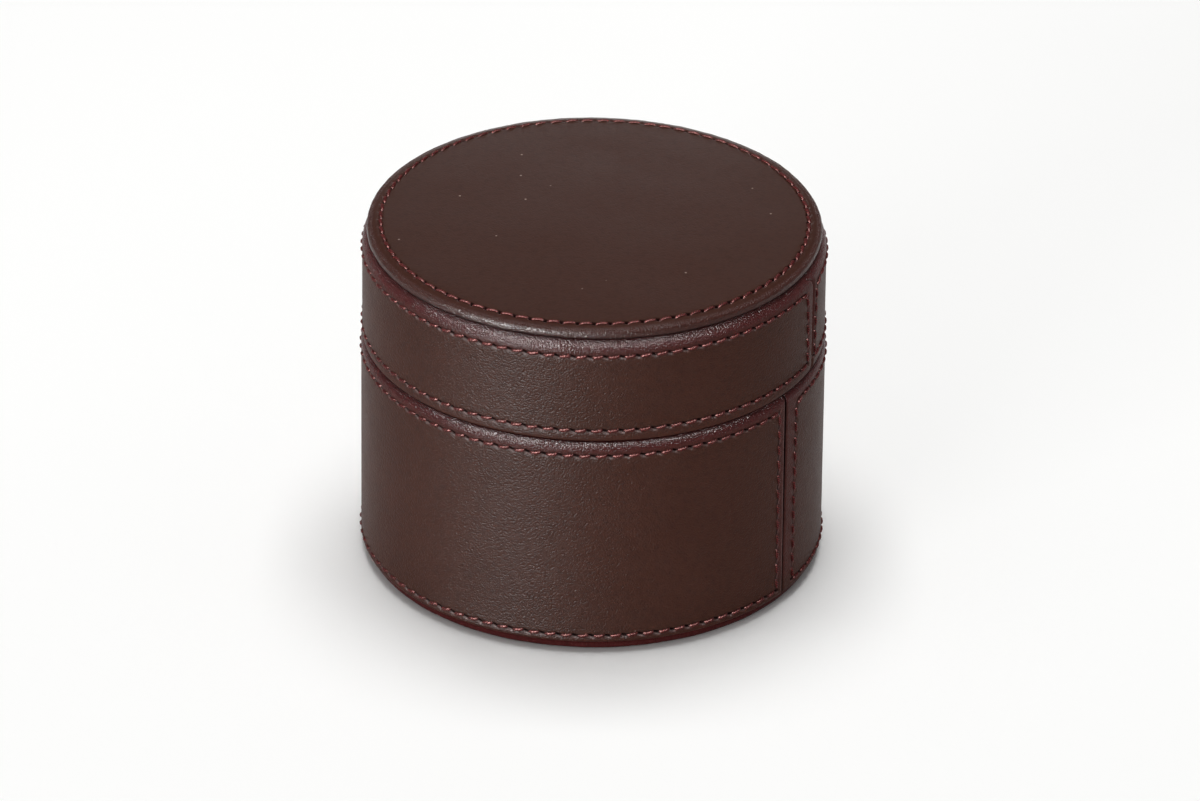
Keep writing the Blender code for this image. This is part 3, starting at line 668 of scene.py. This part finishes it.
def revolve(name, outline, columns, material, relief, groove=None, wear_and_highlight=None):
    """A turned piece whose outline is a closed ring, or runs from axis to axis.

    A groove is (angle, depth, width). The edge and rim masks rise between the two radii in worn.
    """
    poles = outline[0][0] < 1e-9
    rows = outline[1:-1] if poles else outline
    vertices, faces = [], []
    marks = []
    for r, z, nr, nz in rows:
        for k in range(columns):
            a = 2 * math.pi * k / columns
            point = Vector((r * math.cos(a), r * math.sin(a), z))
            out = relief(point)
            if groove:
                away = (a - groove[0] + math.pi) % (2 * math.pi) - math.pi
                out -= groove[1] * math.exp(-((away * r / groove[2]) ** 2))
            vertices.append(point + Vector((nr * math.cos(a), nr * math.sin(a), nz)) * out)
            marks.append(smooth(r, *wear_and_highlight) if wear_and_highlight else 0.0)
    count = len(rows)
    for i in range(count - 1 if poles else count):
        for k in range(columns):
            a, b = i * columns + k, i * columns + (k + 1) % columns
            c, d = (i + 1) % count * columns + (k + 1) % columns, (i + 1) % count * columns + k
            faces.append((a, b, c, d))
    if poles:
        for end, row, flip in ((outline[0], 0, True), (outline[-1], count - 1, False)):
            tip = len(vertices)
            vertices.append(Vector((0, 0, end[1])))
            marks.append(0.0)
            for k in range(columns):
                a, b = row * columns + k, row * columns + (k + 1) % columns
                faces.append((b, a, tip) if flip else (a, b, tip))
    return make_object(name, vertices, faces, material, {"edge": marks, "rim": marks} if wear_and_highlight else None)


def rounded_section(width, foot, top, foot_rounding, top_rounding, count):
    """Closed section of a roll or divider as (side, up, normal side, normal up)."""
    half = width / 2
    points = arc(half - foot_rounding, foot + foot_rounding, foot_rounding, -90, 0, 4)
    line_to(points, (half, top - top_rounding), (1, 0), count)
    points += arc(half - top_rounding, top - top_rounding, top_rounding, 0, 90, 7)
    if half - top_rounding > 0.01 * MM:
        line_to(points, (-half + top_rounding, top), (0, 1), 2)
    points += arc(-half + top_rounding, top - top_rounding, top_rounding, 90, 180, 7)
    line_to(points, (-half, foot + foot_rounding), (-1, 0), count)
    points += arc(-half + foot_rounding, foot + foot_rounding, foot_rounding, 180, 270, 4)
    line_to(points, (half - foot_rounding, foot), (0, -1), 4)
    return points


def sweep(name, box, along, section, end_rounding, sag, material, relief):
    """A roll or divider swept along X or Y over a CAD box, its ends rounded and its top falling to them."""
    low, high = box
    middle = (low + high) / 2
    start, end = (low.x, high.x) if along == "x" else (low.y, high.y)
    length = end - start
    foot, top = low.z, high.z
    places = [end_rounding * (1 - math.cos(math.radians(a))) for a in range(0, 91, 15)]
    inside = max(4, round((length - 2 * end_rounding) / (1.6 * MM)))
    places += [end_rounding + (length - 2 * end_rounding) * k / inside for k in range(1, inside)]
    places += [length - p for p in reversed(places[:7])]
    vertices = []
    for place in places:
        near = min(place, length - place)
        pulled = 0.0
        if near < end_rounding:
            pulled = end_rounding - math.sqrt(max(end_rounding**2 - (end_rounding - near) ** 2, 0.0))
        fall = sag * (2 * place / length - 1) ** 2
        for side, up, n_side, n_up in section:
            lift = up - pulled * n_up - fall * (up - foot) / (top - foot)
            shift = side - pulled * n_side * min(1.0, abs(side) / end_rounding if end_rounding else 1)
            point = Vector((start + place, middle.y + shift, lift))
            normal = Vector((0, n_side, n_up))
            if along == "y":
                point = Vector((middle.x - shift, start + place, lift))
                normal = Vector((-n_side, 0, n_up))
            vertices.append(point + normal * relief(point))
    return make_object(name, vertices, tube(len(places), len(section)), material)


def bake(piece):
    """Puts the piece's modified shape in place of its mesh."""
    shaped = piece.evaluated_get(bpy.context.evaluated_depsgraph_get())
    mesh = bpy.data.meshes.new_from_object(shaped)
    piece.modifiers.clear()
    old, piece.data = piece.data, mesh
    bpy.data.meshes.remove(old)
    mesh.shade_smooth()


def swell(piece, voxel, cap, pressure, held_side=-1):
    """Fills a soft piece out with a cloth simulation, one side held and its swelling scaled to cap."""
    corners = np.array([corner[:] for corner in piece.bound_box])
    middle = Vector((corners.min(axis=0) + corners.max(axis=0)) / 2)
    piece.data.transform(Matrix.Scale(SOFT_SCALE, 4) @ Matrix.Translation(-middle))
    remesh = piece.modifiers.new("Remesh", "REMESH")
    remesh.mode = "VOXEL"
    remesh.voxel_size = voxel * SOFT_SCALE
    bake(piece)
    start = np.array([vertex.co[:] for vertex in piece.data.vertices])
    rise = start[:, 2] * held_side
    held = np.flatnonzero(rise > rise.max() - 0.5 * voxel * SOFT_SCALE)
    piece.vertex_groups.new(name="held").add(held.tolist(), 1.0, "REPLACE")
    cloth = piece.modifiers.new("Cloth", "CLOTH").settings
    cloth.quality = 5
    cloth.use_pressure = True
    cloth.uniform_pressure_force = pressure
    cloth.effector_weights.gravity = 0.0
    cloth.vertex_group_mass = "held"
    for frame in range(1, SOFT_FRAMES + 1):
        bpy.context.scene.frame_set(frame)
    bake(piece)
    bpy.context.scene.frame_set(1)
    move = np.array([vertex.co[:] for vertex in piece.data.vertices]) - start
    length = np.linalg.norm(move, axis=1)
    cap *= SOFT_SCALE
    share = min(1.0, cap / np.percentile(length, 95))
    share = np.minimum(share, cap / np.maximum(length, 1e-9))
    piece.data.vertices.foreach_set("co", (start + move * share[:, None]).ravel())
    piece.modifiers.new("Subdivision", "SUBSURF").levels = 1
    bake(piece)
    piece.data.transform(Matrix.Translation(middle) @ Matrix.Scale(1 / SOFT_SCALE, 4))


def tab_outline(half, low, high, rounding, inset):
    """Outline of a pull tab in (y, z), drawn in by inset."""
    corner = max(rounding - inset, 0.2 * MM)
    half, low, high = half - inset, low + inset, high - inset
    points = [(half, low)] + [(half, low + (high - corner - low) * k / 10) for k in range(1, 11)]
    points += [(p[0], p[1]) for p in arc(half - corner, high - corner, corner, 0, 90, 8)]
    points += [(p[0], p[1]) for p in arc(-half + corner, high - corner, corner, 90, 180, 8)]
    return points + [(-half, high - corner - (high - corner - low) * k / 10) for k in range(1, 11)]


class PullTab:
    """Leather strap with rounded corners, sewn round its edge."""

    def __init__(self, name, box, facing):
        self.name, self.facing = name, facing
        self.thickness = box[1].x - box[0].x
        self.middle = (box[0].x + box[1].x) / 2
        self.half = (box[1].y - box[0].y) / 2
        self.low, self.high = box[0].z, box[1].z
        self.rounding = 3.0 * MM

    def bend(self, z):
        return self.facing * 0.1 * MM * math.sin((z - self.low) / (self.high - self.low) * math.pi)

    def build(self, material):
        edge = 0.45 * MM
        across = self.thickness / 2
        layers = []
        for inset in (2.2, 1.5, 1.25, 1.0, 0.75):
            groove = 0.13 * MM if inset == 1.25 else 0.0
            layers.append((inset * MM, -across + groove))
        layers += [(edge * (1 - math.sin(math.radians(a))), -across + edge * (1 - math.cos(math.radians(a))))
                   for a in (0, 30, 60, 90)]
        layers += [(inset, -x) for inset, x in reversed(layers)]
        vertices, edges = [], []
        for inset, x in layers:
            outline = tab_outline(self.half, self.low, self.high, self.rounding, inset)
            vertices += [(self.middle + self.bend(z) + x, y, z) for y, z in outline]
            edges += [1.0 if inset < 1.2 * MM else 0.35] * len(outline)
        faces = tube(len(layers), len(outline))
        masks = {"edge": edges, "rim": [0.3 * edge for edge in edges]}
        return make_object(self.name, vertices, faces, material, masks)

    def curves(self):
        """Small stitches on both faces of the tab, along its two sides and its top."""
        inset, pitch = 1.25 * MM, 2.2 * MM
        outline = tab_outline(self.half, self.low, self.high, self.rounding, inset)
        outline = [p for p in outline if p[1] > self.high - 6.5 * MM]
        walked = [0.0]
        for (y0, z0), (y1, z1) in zip(outline, outline[1:]):
            walked.append(walked[-1] + math.hypot(y1 - y0, z1 - z0))
        ys, zs = [p[0] for p in outline], [p[1] for p in outline]
        count = int(walked[-1] / pitch)
        found = []
        for side in (-1, 1):
            for k in range(count):
                points = []
                for step in range(9):
                    t = step / 8
                    place = (k + 0.12 + 0.76 * t) * pitch
                    y, z = np.interp(place, walked, ys), np.interp(place, walked, zs)
                    high = self.thickness / 2 + 0.02 * MM - 0.4 * MM * abs(2 * t - 1) ** 4
                    points.append(Vector((self.middle + self.bend(z) + side * high, y, z)))
                found.append((points, [Vector((side, 0, 0))] * 9))
        return found


# Materials


class Nodes:
    """Short names for building the node tree of a material or world."""

    def __init__(self, owner, shader="Principled BSDF"):
        self.owner = owner
        owner.use_nodes = True
        self.tree = owner.node_tree
        self.shader = self.tree.nodes[shader]

    def put(self, socket, value):
        """Links an output to a socket, or sets a plain value on it."""
        if isinstance(value, bpy.types.NodeSocket):
            self.tree.links.new(value, socket)
        else:
            socket.default_value = value

    def add(self, kind, inputs, **settings):
        node = self.tree.nodes.new(kind)
        for key, value in settings.items():
            setattr(node, key, value)
        for key, value in inputs.items():
            self.put(node.inputs[key], value)
        return node

    def math(self, operation, *values):
        return self.add("ShaderNodeMath", dict(enumerate(values)), operation=operation).outputs[0]

    def times(self, first, second):
        return self.math("MULTIPLY", first, second)

    def ramp(self, source, low, high, low_value=0.0, high_value=1.0):
        inputs = {"Value": source, "From Min": low, "From Max": high}
        inputs.update({"To Min": low_value, "To Max": high_value})
        return self.add("ShaderNodeMapRange", inputs, interpolation_type="SMOOTHSTEP").outputs["Result"]

    def mix(self, share, first, second):
        """Blends two outputs or colours. A colour of three values is an 8-bit one."""
        node = self.add("ShaderNodeMix", {}, data_type="RGBA")
        for place, value in ((0, share), (6, first), (7, second)):
            is_colour = isinstance(value, tuple) and len(value) == 3
            self.put(node.inputs[place], linear(value) if is_colour else value)
        return node.outputs[2]

    def noise(self, vector, scale, detail=3.0, roughness=0.5):
        inputs = {"Vector": vector, "Scale": scale, "Detail": detail, "Roughness": roughness}
        return self.add("ShaderNodeTexNoise", inputs).outputs["Fac"]

    def cells(self, vector, scale, feature="SMOOTH_F1"):
        inputs = {"Vector": vector, "Scale": scale}
        return self.add("ShaderNodeTexVoronoi", inputs, feature=feature).outputs["Distance"]

    def bump(self, height, distance, previous=None):
        inputs = {"Height": height, "Distance": distance}
        if previous is not None:
            inputs["Normal"] = previous
        return self.add("ShaderNodeBump", inputs).outputs["Normal"]

    def object_place(self):
        return self.add("ShaderNodeTexCoord", {}).outputs["Object"]

    def attribute(self, name):
        return self.add("ShaderNodeAttribute", {}, attribute_name=name).outputs["Fac"]

    def set(self, **values):
        """Sets or links the shader's sockets."""
        for key, value in values.items():
            self.put(self.shader.inputs[key.replace("_", " ")], value)


def leather_material():
    n = Nodes(bpy.data.materials.new("brown_leather"))
    place = n.object_place()
    edge, rim, calm, hole = (n.attribute(name) for name in ("edge", "rim", "calm", "hole"))
    brown = n.mix(n.ramp(n.noise(place, 45.0, 3.0), 0.3, 0.7), (63, 33, 23), (67, 36, 26))
    brown = n.mix(n.times(calm, 0.9), brown, (58, 33, 25))
    tint = n.math("ADD", n.times(edge, 0.45), n.times(rim, 0.4))
    tint = n.times(tint, n.math("SUBTRACT", 1.0, n.times(calm, 0.5)))
    colour = n.mix(tint, brown, (80, 33, 34))
    colour = n.mix(n.ramp(n.noise(place, 900.0, 3.0), 0.4, 0.8, 0.0, 0.36), colour, (38, 18, 14))
    # Painted highlight: the lips of the holes and the seam's folded edge are mixed toward a light colour
    colour = n.mix(n.times(n.attribute("lip"), 0.32), colour, (176, 134, 130))
    specks = n.ramp(n.cells(place, 150.0, "F1"), 0.045, 0.02)
    colour = n.mix(n.times(specks, calm), colour, (150, 128, 118))
    # Painted shade: holes, stitch grooves, seam gaps, rim folds and hidden faces are darkened toward near
    # black
    colour = n.mix(n.times(hole, 0.86), colour, (20, 8, 9))
    shine = n.mix(hole, (1.0, 1.0, 1.0, 1.0), (0.03, 0.03, 0.03, 1.0))
    rough = n.ramp(n.noise(place, 260.0, 2.0), 0.3, 0.7, 0.41, 0.445)
    rough = n.math("SUBTRACT", rough, n.times(rim, 0.17))
    cells = n.cells(place, 2900.0)
    pores = n.ramp(n.noise(place, 3600.0, 1.0), 0.47, 0.66)
    folds = n.noise(place, 1500.0, 4.0, 0.7)
    still = n.times(calm, n.math("SUBTRACT", 1.0, rim))
    share = n.math("SUBTRACT", n.times(still, 0.85), 1.0)
    share = n.math("SUBTRACT", share, n.times(rim, 0.3))
    normal = n.bump(n.times(n.times(cells, cells), share), 0.00016)
    normal = n.bump(n.times(pores, share), -0.00002, normal)
    normal = n.bump(n.times(rim, folds), 0.00004, normal)
    rough = n.math("ADD", rough, n.times(hole, 0.5))
    coat = n.times(n.times(calm, rim), 0.24)
    n.set(Base_Color=colour, Specular_Tint=shine, Roughness=rough, Normal=normal)
    n.set(IOR=1.5, Specular_IOR_Level=0.045, Coat_Weight=coat, Coat_Normal=normal, Coat_Roughness=0.28)
    return n.owner


def thread_material():
    n = Nodes(bpy.data.materials.new("thread"))
    mottle = n.ramp(n.noise(n.object_place(), 1400.0, 2.0), 0.35, 0.65)
    ply = n.math("SINE", n.times(n.math("ADD", n.attribute("run"), n.attribute("turn")), 2 * math.pi))
    colour = n.mix(mottle, (90, 27, 28), (114, 43, 42))
    # Painted shade in the valleys between the plies
    colour = n.mix(n.ramp(ply, 0.4, -0.6, 0.0, 0.95), colour, (24, 5, 7))
    # Painted shade on the thread's ends where they sink into their holes
    colour = n.mix(n.attribute("sunk"), colour, (20, 6, 8))
    n.set(Base_Color=colour, Normal=n.bump(ply, 0.00004), Roughness=0.42, Specular_IOR_Level=0.14,
          Specular_Tint=(1.0, 0.52, 0.48, 1.0))
    return n.owner


def suede_material(name, light, dark):
    """Brushed suede: nap that lies in patches, a fuzzy surface and a soft sheen."""
    n = Nodes(bpy.data.materials.new(name))
    place = n.object_place()
    nap, fuzz = n.noise(place, 90.0, 3.0, 0.6), n.noise(place, 2600.0, 3.0, 0.7)
    colour = n.mix(n.ramp(nap, 0.38, 0.62), dark, light)
    colour = n.mix(n.ramp(fuzz, 0.3, 0.75, 0.0, 0.45), colour, tuple(value * 0.72 for value in dark))
    n.set(Base_Color=colour, Normal=n.bump(nap, 0.0002, n.bump(fuzz, 0.00018)), Roughness=0.95,
          Specular_IOR_Level=0.04, Sheen_Weight=0.35, Sheen_Roughness=0.5)
    return n.owner


def board_material(name, light, dark, fleck, scale):
    """Pressed board: fibres, flecks and a dull surface."""
    n = Nodes(bpy.data.materials.new(name))
    place = n.object_place()
    stretched = n.add("ShaderNodeMapping", {"Vector": place, "Scale": (1.0, 1.0, 3.5)})
    fibres = n.noise(stretched.outputs["Vector"], scale, 5.0, 0.65)
    colour = n.mix(n.ramp(fibres, 0.3, 0.7), dark, light)
    colour = n.mix(n.ramp(n.noise(place, scale * 2.3, 2.0), 0.62, 0.72, 0.0, 0.6), colour, fleck)
    n.set(Base_Color=colour, Normal=n.bump(fibres, 0.00012), Roughness=0.88, Specular_IOR_Level=0.06)
    return n.owner


# Stage


def make_camera():
    camera = bpy.data.cameras.new("camera")
    camera.sensor_width = SENSOR_WIDTH
    camera.lens = FOCAL_PIXELS * SENSOR_WIDTH / IMAGE_WIDTH
    camera.clip_start, camera.clip_end = 0.1, 20.0
    holder = bpy.data.objects.new("camera", camera)
    turn = Matrix.Rotation(-CAMERA_YAW, 4, "Z") @ Matrix.Rotation(math.pi / 2 - CAMERA_PITCH, 4, "X")
    holder.matrix_world = Matrix.Translation(CAMERA_PLACE) @ turn @ Matrix.Rotation(CAMERA_ROLL, 4, "Z")
    bpy.context.collection.objects.link(holder)
    bpy.context.scene.camera = holder


def make_light(name, azimuth, elevation, distance, size, level, *pieces):
    """A square lamp aimed at the box. Level 1 lights a facing white surface to white.

    With pieces named it only makes highlights, and only on these.
    """
    a, e = math.radians(azimuth), math.radians(elevation)
    away = Vector((math.sin(a) * math.cos(e), -math.cos(a) * math.cos(e), math.sin(e)))
    light = bpy.data.lights.new(name, "AREA")
    light.shape = "SQUARE"
    light.size = size
    light.energy = level * math.pi**2 * distance**2
    holder = bpy.data.objects.new(name, light)
    holder.location = Vector((0, 0, AIM_HEIGHT)) + away * distance
    holder.rotation_mode = "QUATERNION"
    holder.rotation_quaternion = (-away).to_track_quat("-Z", "Y")
    if pieces:
        holder.visible_diffuse = False
        lit = bpy.data.collections.new(name)
        for piece in pieces:
            lit.objects.link(bpy.data.objects[piece])
        holder.light_linking.receiver_collection = lit
    bpy.context.collection.objects.link(holder)
    return holder


def make_world(level, zenith):
    """Even light that grows towards the zenith."""
    world = bpy.data.worlds.new("studio")
    bpy.context.scene.world = world
    n = Nodes(world, "Background")
    place = n.add("ShaderNodeTexCoord", {}).outputs["Generated"]
    height = n.add("ShaderNodeSeparateXYZ", {0: place}).outputs["Z"]
    lift = n.math("POWER", n.math("MAXIMUM", height, 0.0), 2.0)
    n.set(Color=(1.0, 1.0, 1.0, 1.0), Strength=n.math("MULTIPLY_ADD", lift, zenith, level))


def make_stage():
    bpy.context.scene.view_settings.view_transform = "Standard"
    make_world(0.25, 0.08)
    n = Nodes(bpy.data.materials.new("floor"))
    speckle = n.noise(n.object_place(), 6.0, 2.0)
    n.set(Base_Color=n.mix(speckle, (250, 250, 249), (252, 252, 251)), Roughness=0.9,
          Specular_IOR_Level=0.0)
    corners = [(x, y, FLOOR_LEVEL) for x, y in ((-4, -4), (4, -4), (4, 4), (-4, 4))]
    make_object("floor", corners, [(0, 1, 2, 3)], n.owner)
    make_light("key_light", -35, 4, 2.2, 1.0, 0.6).visible_glossy = False
    make_light("top_light", 179, 82.5, 1.6, 0.9, 0.8)


def make_highlights():
    """Lamps for highlights on the sides, which leave the flat top free of glare, and on the top."""
    walls = ("base_side", "base_stitching", "lid_side", "lid_stitching")
    make_light("shoulder_gloss", -43, 43, 1.3, 0.15, 15.0, *walls, "top_stitching")
    make_light("right_gloss", 36, 45, 1.3, 0.25, 8.0, *walls, "top_stitching")
    make_light("side_gloss", -37, -0.35, 1.3, 0.07, 7.0, *walls, "top_panel")
    make_light("panel_gloss", -43, 43, 1.3, 0.15, 2.5, "top_panel")
    make_light("back_gloss", 180, 10, 1.5, 0.35, 0.085, "top_panel")


# The parts of the box


def add(piece, body, slot, *nodes):
    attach(piece, body)
    if nodes:
        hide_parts(*nodes)


def make_bands():
    """The leather of the two sides, each with the rows that turn in below and above its outside."""
    rounding = INNER_ROUNDING
    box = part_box("base_band_leather")
    radius, foot, top = box[1].x, box[0].z, box[1].z
    inside = BASE_INSIDE
    before = straight((radius - 4 * MM, foot), (radius - EDGE_ROUNDING, foot), (0, -1), 3, True)
    after = straight((radius - BASE_SHOULDER, top), (inside + rounding, top), (0, 1), 5)
    after += arc(inside + rounding, top - rounding, rounding, 90, 180, 6)
    after += straight((inside, top - rounding), (inside, top - 7 * MM), (-1, 0), 5)
    base = Band("base_side", box, BASE_SHOULDER, BASE_SEAM, BASE_ROWS, BASE_RIGHT, BASE_LEFT, BASE_PITCH,
                BASE_GAP, False, before, after)
    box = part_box("lid_band_leather")
    radius, foot, top = box[1].x, box[0].z, box[1].z
    inside = LID_INSIDE
    before = straight((inside, foot + 7.4 * MM), (inside, foot + rounding), (-1, 0), 5, True)
    before += arc(inside + rounding, foot + rounding, rounding, 180, 270, 6)
    before += straight((inside + rounding, foot), (radius - EDGE_ROUNDING, foot), (0, -1), 3)
    after = straight((radius - LID_SHOULDER, top), (radius - LID_SHOULDER - 2 * MM, top), (0, 1), 2)
    lid = Band("lid_side", box, LID_SHOULDER, LID_SEAM, LID_ROWS, LID_RIGHT, LID_LEFT, LID_PITCH,
               LID_GAP, True, before, after)
    return base, lid


def band_parts(leather, thread):
    """Sides and top panel with their stitching, and the strip of leather behind the base's seam."""
    base, lid = make_bands()
    panel = TopPanel(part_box("lid_top_leather"))
    for surface, node, body, threads, sense, inset in (
        (base, "base_band_leather", "base", "base_stitching", 1, 0.15),
        (lid, "lid_band_leather", "lid", "lid_stitching", 1, 0.13),
        (panel, "lid_top_leather", "lid", "top_stitching", -1, 0.08),
    ):
        add(surface.build(leather), body, "brown_leather", node)
        curves = [stitch_curve(surface, *row, sense, inset) for row in surface.thread_rows()]
        add(stitching(threads, curves, thread), body, "brown_leather")
    low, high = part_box("base_hoop")
    near, far, foot, top = high.x + 0.05 * MM, high.x + 0.4 * MM, low.z + 0.4 * MM, high.z - 0.6 * MM
    backing = []
    for k in range(-3, 4):
        for r, z in ((near, foot), (far, foot), (far, top), (near, top)):
            a = BASE_SEAM + k * MM / r
            backing.append((r * math.cos(a), r * math.sin(a), z))
    # The strip behind the base's seam is painted near black all over as shade
    strip = make_object("seam_backing", backing, tube(7, 4), leather, {"hole": np.ones(len(backing))})
    add(strip, "base", "brown_leather")


def leather_parts(leather, thread):
    """Bottom panel and the tray's pull tabs."""
    low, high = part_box("bottom_panel_leather")
    outline = disc_outline(high.x, low.z, high.z, 0.9 * MM, 4 * MM)
    wear_and_highlight = (high.x - 3 * MM, high.x - 1 * MM)
    bottom = revolve("bottom_panel", outline, 480, leather, puff(5 * MM, 0.06 * MM, 2.0), wear_and_highlight=wear_and_highlight)
    add(bottom, "base", "brown_leather", "bottom_panel_leather")
    for side, facing in (("left", 1), ("right", -1)):
        tab = PullTab("tab_" + side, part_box("pull_tab_" + side), facing)
        add(tab.build(leather), "tray", "brown_leather", "pull_tab_" + side)
        add(stitching("tab_stitching_" + side, tab.curves(), thread), "tray", "brown_leather")


def collar_outline(low, high):
    """Section of the suede over the collar: its inside, its rim and a skirt outside."""
    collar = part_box("collar")[1]
    inner, skirt, foot = 42.5 * MM, 44.9 * MM, 43.3 * MM
    middle, rounding = (inner + skirt) / 2, (skirt - inner) / 2
    wall, ledge, hem = collar.x + 0.06 * MM, collar.z + 0.06 * MM, collar.z - 9 * MM
    outline = straight((foot, low.z), (inner + 0.15 * MM, low.z), (0, -1), 2, True)
    outline += straight((inner, low.z + 0.3 * MM), (inner, high.z - rounding), (-1, 0), 24, True)
    outline += arc(middle, high.z - rounding, rounding, 0, 180, 16)[-2::-1]
    outline += straight((skirt, high.z - rounding), (skirt, hem), (1, 0), 12, True)
    outline += straight((wall, hem), (wall, ledge), (-1, 0), 4, True)
    line_to(outline, (foot, ledge), (0, -1), 3)
    return outline


def cover_outline(low, high):
    """Section of the suede over the tray's wall: outside, rim, inside and round the board's foot."""
    pad_low, pad_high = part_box("tray_floor_pad")
    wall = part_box("tray_wall")[1]
    inner, outer, rim, foot = pad_high.x + 0.3 * MM, high.x - 0.05 * MM, 1.5 * MM, 0.6 * MM
    ledge, board = wall.z + 0.2 * MM, wall.x + 0.2 * MM
    outline = arc(outer - foot, low.z + foot, foot, -90, 0, 4)
    line_to(outline, (outer, high.z - rim), (1, 0), 10)
    outline += arc(outer - 1.55 * MM, high.z - rim, rim, 0, 90, 8)
    outline += arc(inner + rim, high.z - rim, rim, 90, 180, 8)
    line_to(outline, (inner, pad_low.z), (-1, 0), 8)
    line_to(outline, (inner + 0.7 * MM, pad_low.z), (0, -1), 1)
    line_to(outline, (inner + 0.7 * MM, ledge), (1, 0), 8)
    line_to(outline, (board, ledge), (0, -1), 2)
    line_to(outline, (board, low.z), (-1, 0), 8)
    return outline


def lining_parts(suede, roll_suede):
    """Suede linings, pads, dividers and rolls."""
    def ring(node, name, body, outline, columns, size, amount, seed, groove):
        relief = puff(size * MM, amount * MM, seed)
        groove = (math.radians(groove[0]), groove[1] * MM, groove[2] * MM)
        add(revolve(name, outline, columns, suede, relief, groove), body, "suede_lining", node)

    shy = Vector((0.1, 0.1, 0.1)) * MM
    outline = collar_outline(*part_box("collar_lining"))
    ring("collar_lining", "collar_sleeve", "base", outline, 360, 9, 0.03, 7.0, (120, 0.08, 0.3))
    low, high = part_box("compartment_lining")
    outline = ring_outline(40.3 * MM, high.x - 0.05 * MM, low.z, high.z - 0.1 * MM, 0.95 * MM, 2 * MM)
    ring("compartment_lining", "compartment_wall", "base", outline, 300, 13, 0.14, 1.0, (70, 0.3, 0.45))
    low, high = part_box("lid_wall_lining")
    low, high = low + shy, high - shy
    outline = ring_outline(44.35 * MM, high.x, low.z, high.z, 0.5 * MM, 2 * MM)
    ring("lid_wall_lining", "lid_wall", "lid", outline, 300, 9, 0.05, 4.0, (60, 0.12, 0.3))
    for node, name, body, fill, under, over, held in (
        ("base_floor_pad", "floor_pad", "base", 0.8, 0.05, 0.4, -1),
        ("lid_ceiling_pad", "ceiling_pad", "lid", 0.8, 0.4, 0.05, 1),
        ("tray_floor_pad", "tray_pad", "tray", 0.9, 0.05, 0.4, -1),
    ):
        low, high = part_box(node)
        foot, top = low.z + under * MM, high.z - over * MM
        outline = disc_outline(high.x - 0.4 * MM, foot, top, 0.45 * (top - foot), 2.5 * MM)
        pad = revolve(name, outline, 200, suede, puff(15 * MM, 0.1 * MM, 3.0))
        swell(pad, 1.1 * MM, 0.35 * MM, 0.7, held)
        add(pad, body, "suede_lining", node)
    outline = cover_outline(*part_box("tray_wall_cover"))
    ring("tray_wall_cover", "tray_cover", "tray", outline, 300, 9, 0.05, 8.0, (90, 0.12, 0.3))
    for node, name, along in (("tray_divider", "divider", "x"), ("tray_cross_divider", "cross_divider", "y")):
        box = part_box(node)
        width = box[1].y - box[0].y if along == "x" else box[1].x - box[0].x
        section = rounded_section(width, box[0].z, box[1].z, 0.4 * MM, width / 2, 6)
        divider = sweep(name, box, along, section, 0.6 * MM, 0.0, suede, puff(7 * MM, 0.07 * MM, 5.0))
        add(divider, "tray", "suede_lining", node)
    inset = Vector((0.5, 0.4, 0.0)) * MM
    for number in range(1, 5):
        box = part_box(f"ring_roll_{number}")
        box = low, high = box[0] + inset, box[1] - inset
        width = high.y - low.y
        foot, top = low.z + 0.1 * MM, high.z - 0.4 * MM
        section = rounded_section(width, foot, top, 1.2 * MM, width / 2 - 0.1 * MM, 5)
        relief = puff(8 * MM, 0.18 * MM, number)
        roll = sweep(f"roll_{number}", box, "x", section, 2.4 * MM, 0.35 * MM, roll_suede, relief)
        swell(roll, 0.8 * MM, 0.35 * MM, 1.6)
        add(roll, "tray", "suede_rolls", f"ring_roll_{number}")


def main():
    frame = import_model()
    make_camera()
    make_stage()
    leather, thread = leather_material(), thread_material()
    finishes = {
        "fibreboard": board_material("fibreboard", (176, 142, 104), (146, 113, 80), (110, 80, 52), 420.0),
        "greyboard": board_material("greyboard", (150, 142, 131), (122, 115, 105), (86, 80, 74), 520.0),
        "suede_lining": suede_material("suede_lining", (166, 128, 95), (142, 108, 79)),
        "suede_rolls": suede_material("suede_rolls", (168, 130, 97), (144, 110, 81)),
        "brown_leather": leather,
    }
    for row in frame["record"]["subparts"]:
        slots = frame["nodes"][row["node"]].data.materials
        slots.clear()
        slots.append(finishes[row["material_slot"]])
    band_parts(leather, thread)
    make_highlights()
    leather_parts(leather, thread)
    lining_parts(finishes["suede_lining"], finishes["suede_rolls"])


main()
